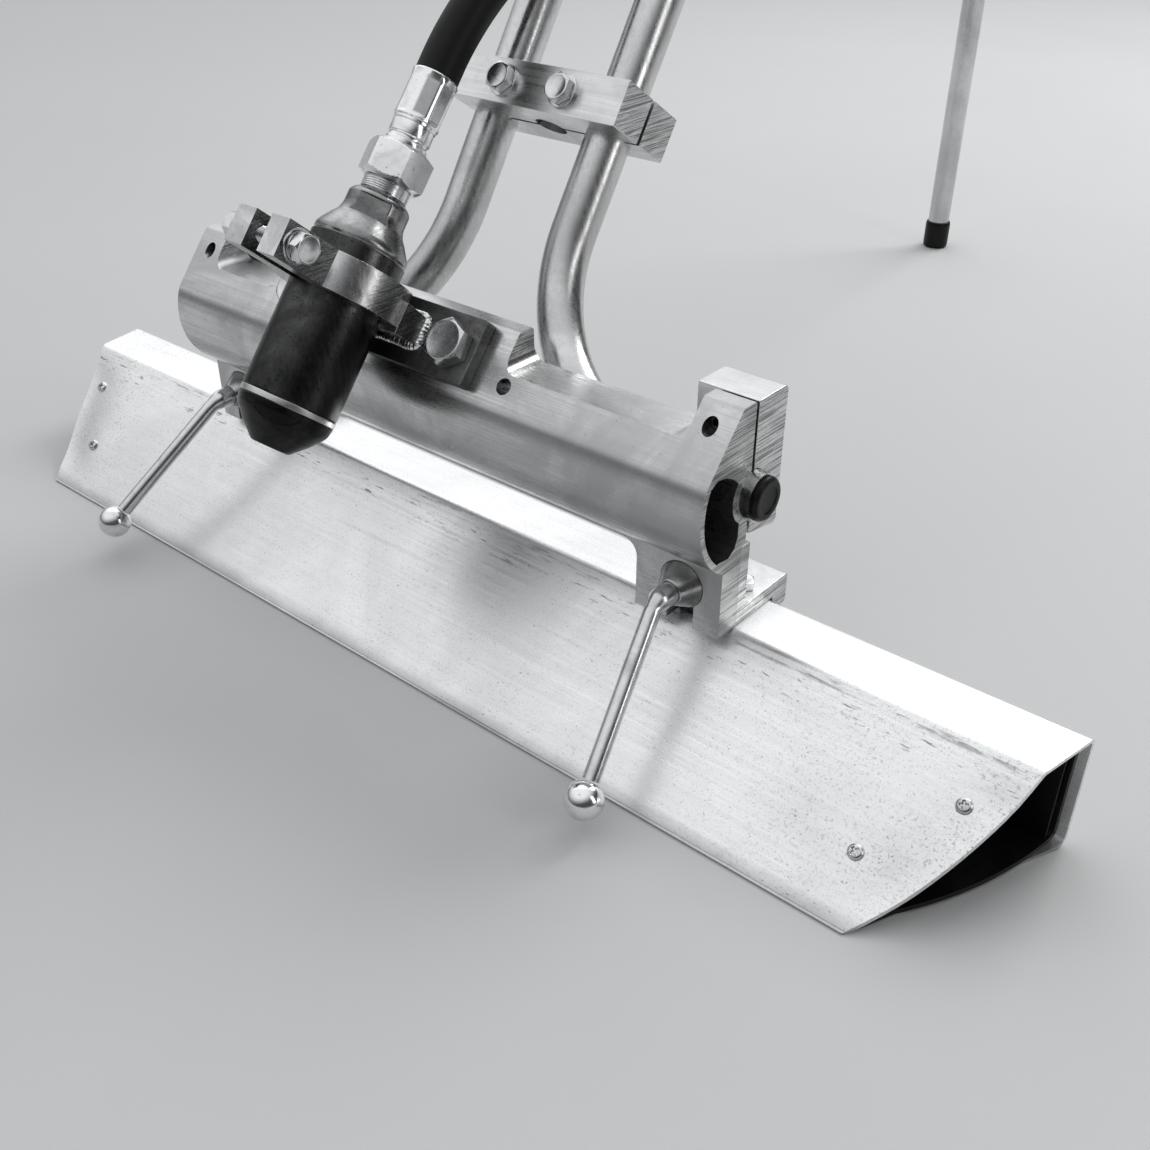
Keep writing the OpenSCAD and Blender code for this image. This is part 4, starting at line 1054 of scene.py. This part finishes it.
def lever_place(hand):
    """Z out of the leg's front on the screw's axis, X towards the side that the rod bends to."""
    joint = joints[f"{hand}_lever_turn"]
    side = -1 if hand == "left" else 1
    splay = radians(SPLAY[hand])
    return place(joint["pos_m"], (side * sin(splay), 0, -cos(splay)), joint["axis"])


def make_lever(hand):
    at = lever_place(hand)
    bend = arc_points((LEVER_BEND, 0, LEVER_A), (0, 0, LEVER_A), "Y", LEVER_TURN, 20)
    way = Vector((sin(radians(LEVER_TURN)), 0, cos(radians(LEVER_TURN))))
    rod = [Vector((0, 0, HUB_Z)), Vector((0, 0, HUB_Z + 2.5))] + bend
    rod += [bend[-1] + way * d for d in range(6, LEVER_RUN - 9, 6)]

    def radius_at(s):
        if s < 0.5:
            return 8.2
        if s < 9:
            return 8.6 - 0.05 * s
        return 6.0 + 2.1 * (1 - ease((s - 9) / 10))
    screw = threaded(7.95, -32, HUB_Z + 0.5, SCREW_PITCH)
    add_piece(f"lever_rod_{hand}", [swept(rod, radius_at, 48), screw], ZINC, f"lever_{hand}", at,
        f"{hand}_lever")
    ball = []
    for i in range(49):
        a = pi * i / 48
        ball.append((BALL_R * sin(a), max(-BALL_R * cos(a), BALL_FLAT)))
    ball[0] = (0, BALL_FLAT)
    turn_to = Matrix((way.cross(Y) * -1, Y, way)).transposed().to_4x4()
    knob = moved(turned(ball, 80), shift(*(bend[-1] + way * LEVER_RUN)) @ turn_to)
    add_piece(f"lever_ball_{hand}", [knob], FITTING, f"lever_knob_{hand}", at, f"{hand}_lever",
        slot="zinc_steel")
    cone = eased([(8.05, -4.7), (16.8, -4.7), (17.2, -4.2), (17.2, 0.2), (16.9, 0.8), (9.8, 13.2),
        (9.3, 13.7), (8.05, 13.7), (8.05, -4.69)], 0.3)
    add_piece(f"cone_{hand}", [turned(cone)], CONE_STEEL, f"cone_washer_{hand}", at,
        f"{hand}_cone", slot="zinc_steel")


for hand in SPLAY:
    make_lever(hand)


# ---- Handle ----

def make_tubes():
    """Each tube's shaft, bend and upright, with the open end of its shaft plugged."""
    for side, name in ((-1, "left"), (1, "right")):
        end_x = side * (BEAM_HALF + 3)
        turn_x = side * (HALF_PITCH + BEND_R)
        path = [Vector((end_x + (turn_x - end_x) * i / 6, 0, 0)) for i in range(6)]
        path += arc_points((turn_x, 0, BEND_R), (turn_x, 0, 0), "Y", 90 * side, 40)
        path += [Vector((side * HALF_PITCH, 0, BEND_R + (UPPER_S - BEND_R) * i / 12))
            for i in range(1, 13)]
        on_handle(f"tube_{name}", [swept(path, TUBE_R, 72)], TUBE, f"handle_tube_{name}")
    upper = []
    for side in (-1, 1):
        at = shift(side * HALF_PITCH, 0, UPPER_S) @ spin(-side * GRIP_SPREAD)
        bend = arc_points((0, BEND_R, 0), (0, 0, 0), "X", -UPPER_BEND, 28)
        way = spin(-UPPER_BEND, "X") @ Z
        run = [bend[-1] + way * GRIP_RUN * i / 12 for i in range(1, 13)]
        upper.append(moved(swept(bend + run, TUBE_R, 72), at))
        upper.append(moved(weld_ring(), at))
    on_handle("upper_tubes", upper, TUBE, "grip_tubes")
    inner = TUBE_R - TUBE_T
    plug = eased([(0, -6), (inner - 0.2, -6), (inner - 0.2, 0.1), (inner + 1.4, 0.1),
        (inner + 1.4, 2.6), (inner - 0.5, 4.8), (10, 4.8), (9, 3.9), (0, 3.9)], 0.6)
    plugs = []
    for side in (-1, 1):
        plugs.append(moved(turned(plug, 80), shift(x=side * (BEAM_HALF + 3))
            @ spin(90 * side, "Y")))
    on_handle("shaft_plugs", plugs, PLASTIC, "tube_plugs")


def weld_ring():
    """The rippled butt weld round a tube, about Z at its joint with the upright."""
    verts, faces, count, sides = [], [], 120, 10
    for i in range(count):
        a = 2 * pi * i / count
        swell = 1.0 + 0.25 * abs(sin(a * 17)) + 0.2 * noise.noise(Vector((cos(a), sin(a), 3)))
        for k in range(sides):
            b = 2 * pi * k / sides
            r = TUBE_R - 0.2 + 1.0 * swell * cos(b)
            verts.append((r * cos(a), r * sin(a), 2.4 * sin(b)))
    for i in range(count):
        for k in range(sides):
            n, m = (i + 1) % count, (k + 1) % sides
            faces.append((i * sides + k, n * sides + k, n * sides + m, i * sides + m))
    return verts, faces


def make_grips():
    """Moulded rubber grips with a thumb flange and soft finger ribs."""
    bulb = TUBE_R + 4.2
    profile = [(0, 1), (TUBE_R - 1, 1), (bulb + 3, 0), (bulb + 4, 1.2), (bulb + 4, 4.6),
        (bulb + 3, 6), (bulb - 0.6, 9), (bulb - 1.2, 12)]
    for i in range(60):
        z = 14 + 108 * i / 59
        profile.append((bulb - 0.65 + 0.6 * sin(2 * pi * (z - 14) / 13.5), z))
    profile += [(bulb - 0.4, 125), (bulb - 0.6, GRIP_L), (bulb - 2, GRIP_L + 3.6),
        (bulb - 5, GRIP_L + 5), (0, GRIP_L + 5)]
    for side, name in ((-1, "left"), (1, "right")):
        add_piece(f"rubber_grip_{name}", [turned(profile)], PLASTIC, f"grip_{name}",
            grip_place(side) @ shift(z=GRIP_RUN - GRIP_L), "handle", slot="black_rubber")


make_tubes()
make_grips()


# ---- Stand ----

def make_stand():
    pivot = Vector(joints["stand_fold"]["pos_m"])
    foot_at = Matrix.Translation((pivot.x, pivot.y, 0)) @ Matrix.Scale(MM, 4)
    r, top = 14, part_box("stand_tube")[1].z / MM
    tube = turned(
        eased([(r - 2, 4), (r, 4), (r, top - 0.6), (r - 0.6, top), (r - 2, top), (r - 2, 4.01)],
        0.4), 64)
    add_piece("leg_tube", [tube], TUBE, "stand_tube", foot_at, "stand", slot="zinc_steel")
    foot = eased([(0, 0), (r - 0.4, 0), (r + 2.3, 2.6), (r + 2.5, 6), (r + 2.5, 32),
        (r + 1.6, 35.4), (r + 0.1, 36), (r + 0.1, 4), (0, 4)], 0.8, 4)
    add_piece("leg_foot", [turned(foot, 72)], PLASTIC, "stand_foot", foot_at, "stand",
        slot="black_rubber")
    pin_end = r + 0.6 + 5
    at = place(pivot, Y, X)
    parts = [threaded(M12_R, -pin_end, pin_end + 8, M12_PITCH),
        moved(hex_nut(M12_ACROSS, 6, 6), shift(z=pin_end) @ spin(17)),
        moved(hex_head(M12_ACROSS, 7), shift(z=-pin_end) @ spin(180, "X") @ spin(8))]
    add_piece("pivot_bolt", parts, ZINC, "stand_pin", at, "handle")


make_stand()


# ---- Floor and light ----

def make_floor():
    g = Graph("pale_floor", metallic=0.0, Specular_IOR_Level=0.25)
    tone = g.noise(scale=1.6, detail=5)
    colour = g.blend(tone, grey(0.54), grey(0.60))
    g.finish(colour, g.spread(tone, 0.3, 0.7, 0.62, 0.72))
    mesh = bpy.data.meshes.new("floor")
    size = 30
    mesh.from_pydata([(-size, -size, 0), (size, -size, 0), (size, size, 0), (-size, size, 0)], [],
        [(0, 1, 2, 3)])
    mesh.materials.append(g.material)
    floor = linked("floor", mesh)


def area_light(name, at, aim, size, power):
    data = bpy.data.lights.new(name, "AREA")
    data.shape = "RECTANGLE"
    data.size, data.size_y = size
    data.energy = power
    light = linked(name, data)
    light.location = at
    light.rotation_euler = (Vector(aim) - Vector(at)).to_track_quat("-Z", "Y").to_euler()


def make_sky():
    """A bright ceiling, a softer panel behind the board to the left, and a dark room in front."""
    world = bpy.data.worlds.new("studio")
    scene.world = world
    t = Tree(world)
    background = t.tree.nodes["Background"]
    coords = t.add("TexCoord").outputs["Generated"]

    def toward(direction):
        values = {1: Vector(direction).normalized()}
        return t.add("VectorMath", values, {0: coords}, operation="DOT_PRODUCT").outputs["Value"]
    ceiling = t.spread(toward((-0.3, -0.1, 1)), 0.2, 0.85, 0.07, 0.80)
    window = t.spread(toward((-0.54, 0.64, 0.54)), 0.62, 0.96, 0.0, 0.55)
    t.tree.links.new(t.plus(ceiling, window), background.inputs["Strength"])
    background.inputs["Color"].default_value = (0.97, 0.985, 1, 1)


make_floor()
make_sky()
area_light("key", (0.5, 3.0, 2.6), (0, 0.2, 0.1), (1.6, 1.6), 45)
area_light("side", (2.6, 0.4, 1.2), (0, 0, 0.15), (0.6, 1.8), 7)
scene.view_settings.view_transform = "Standard"
scene.view_settings.look = "Medium High Contrast"
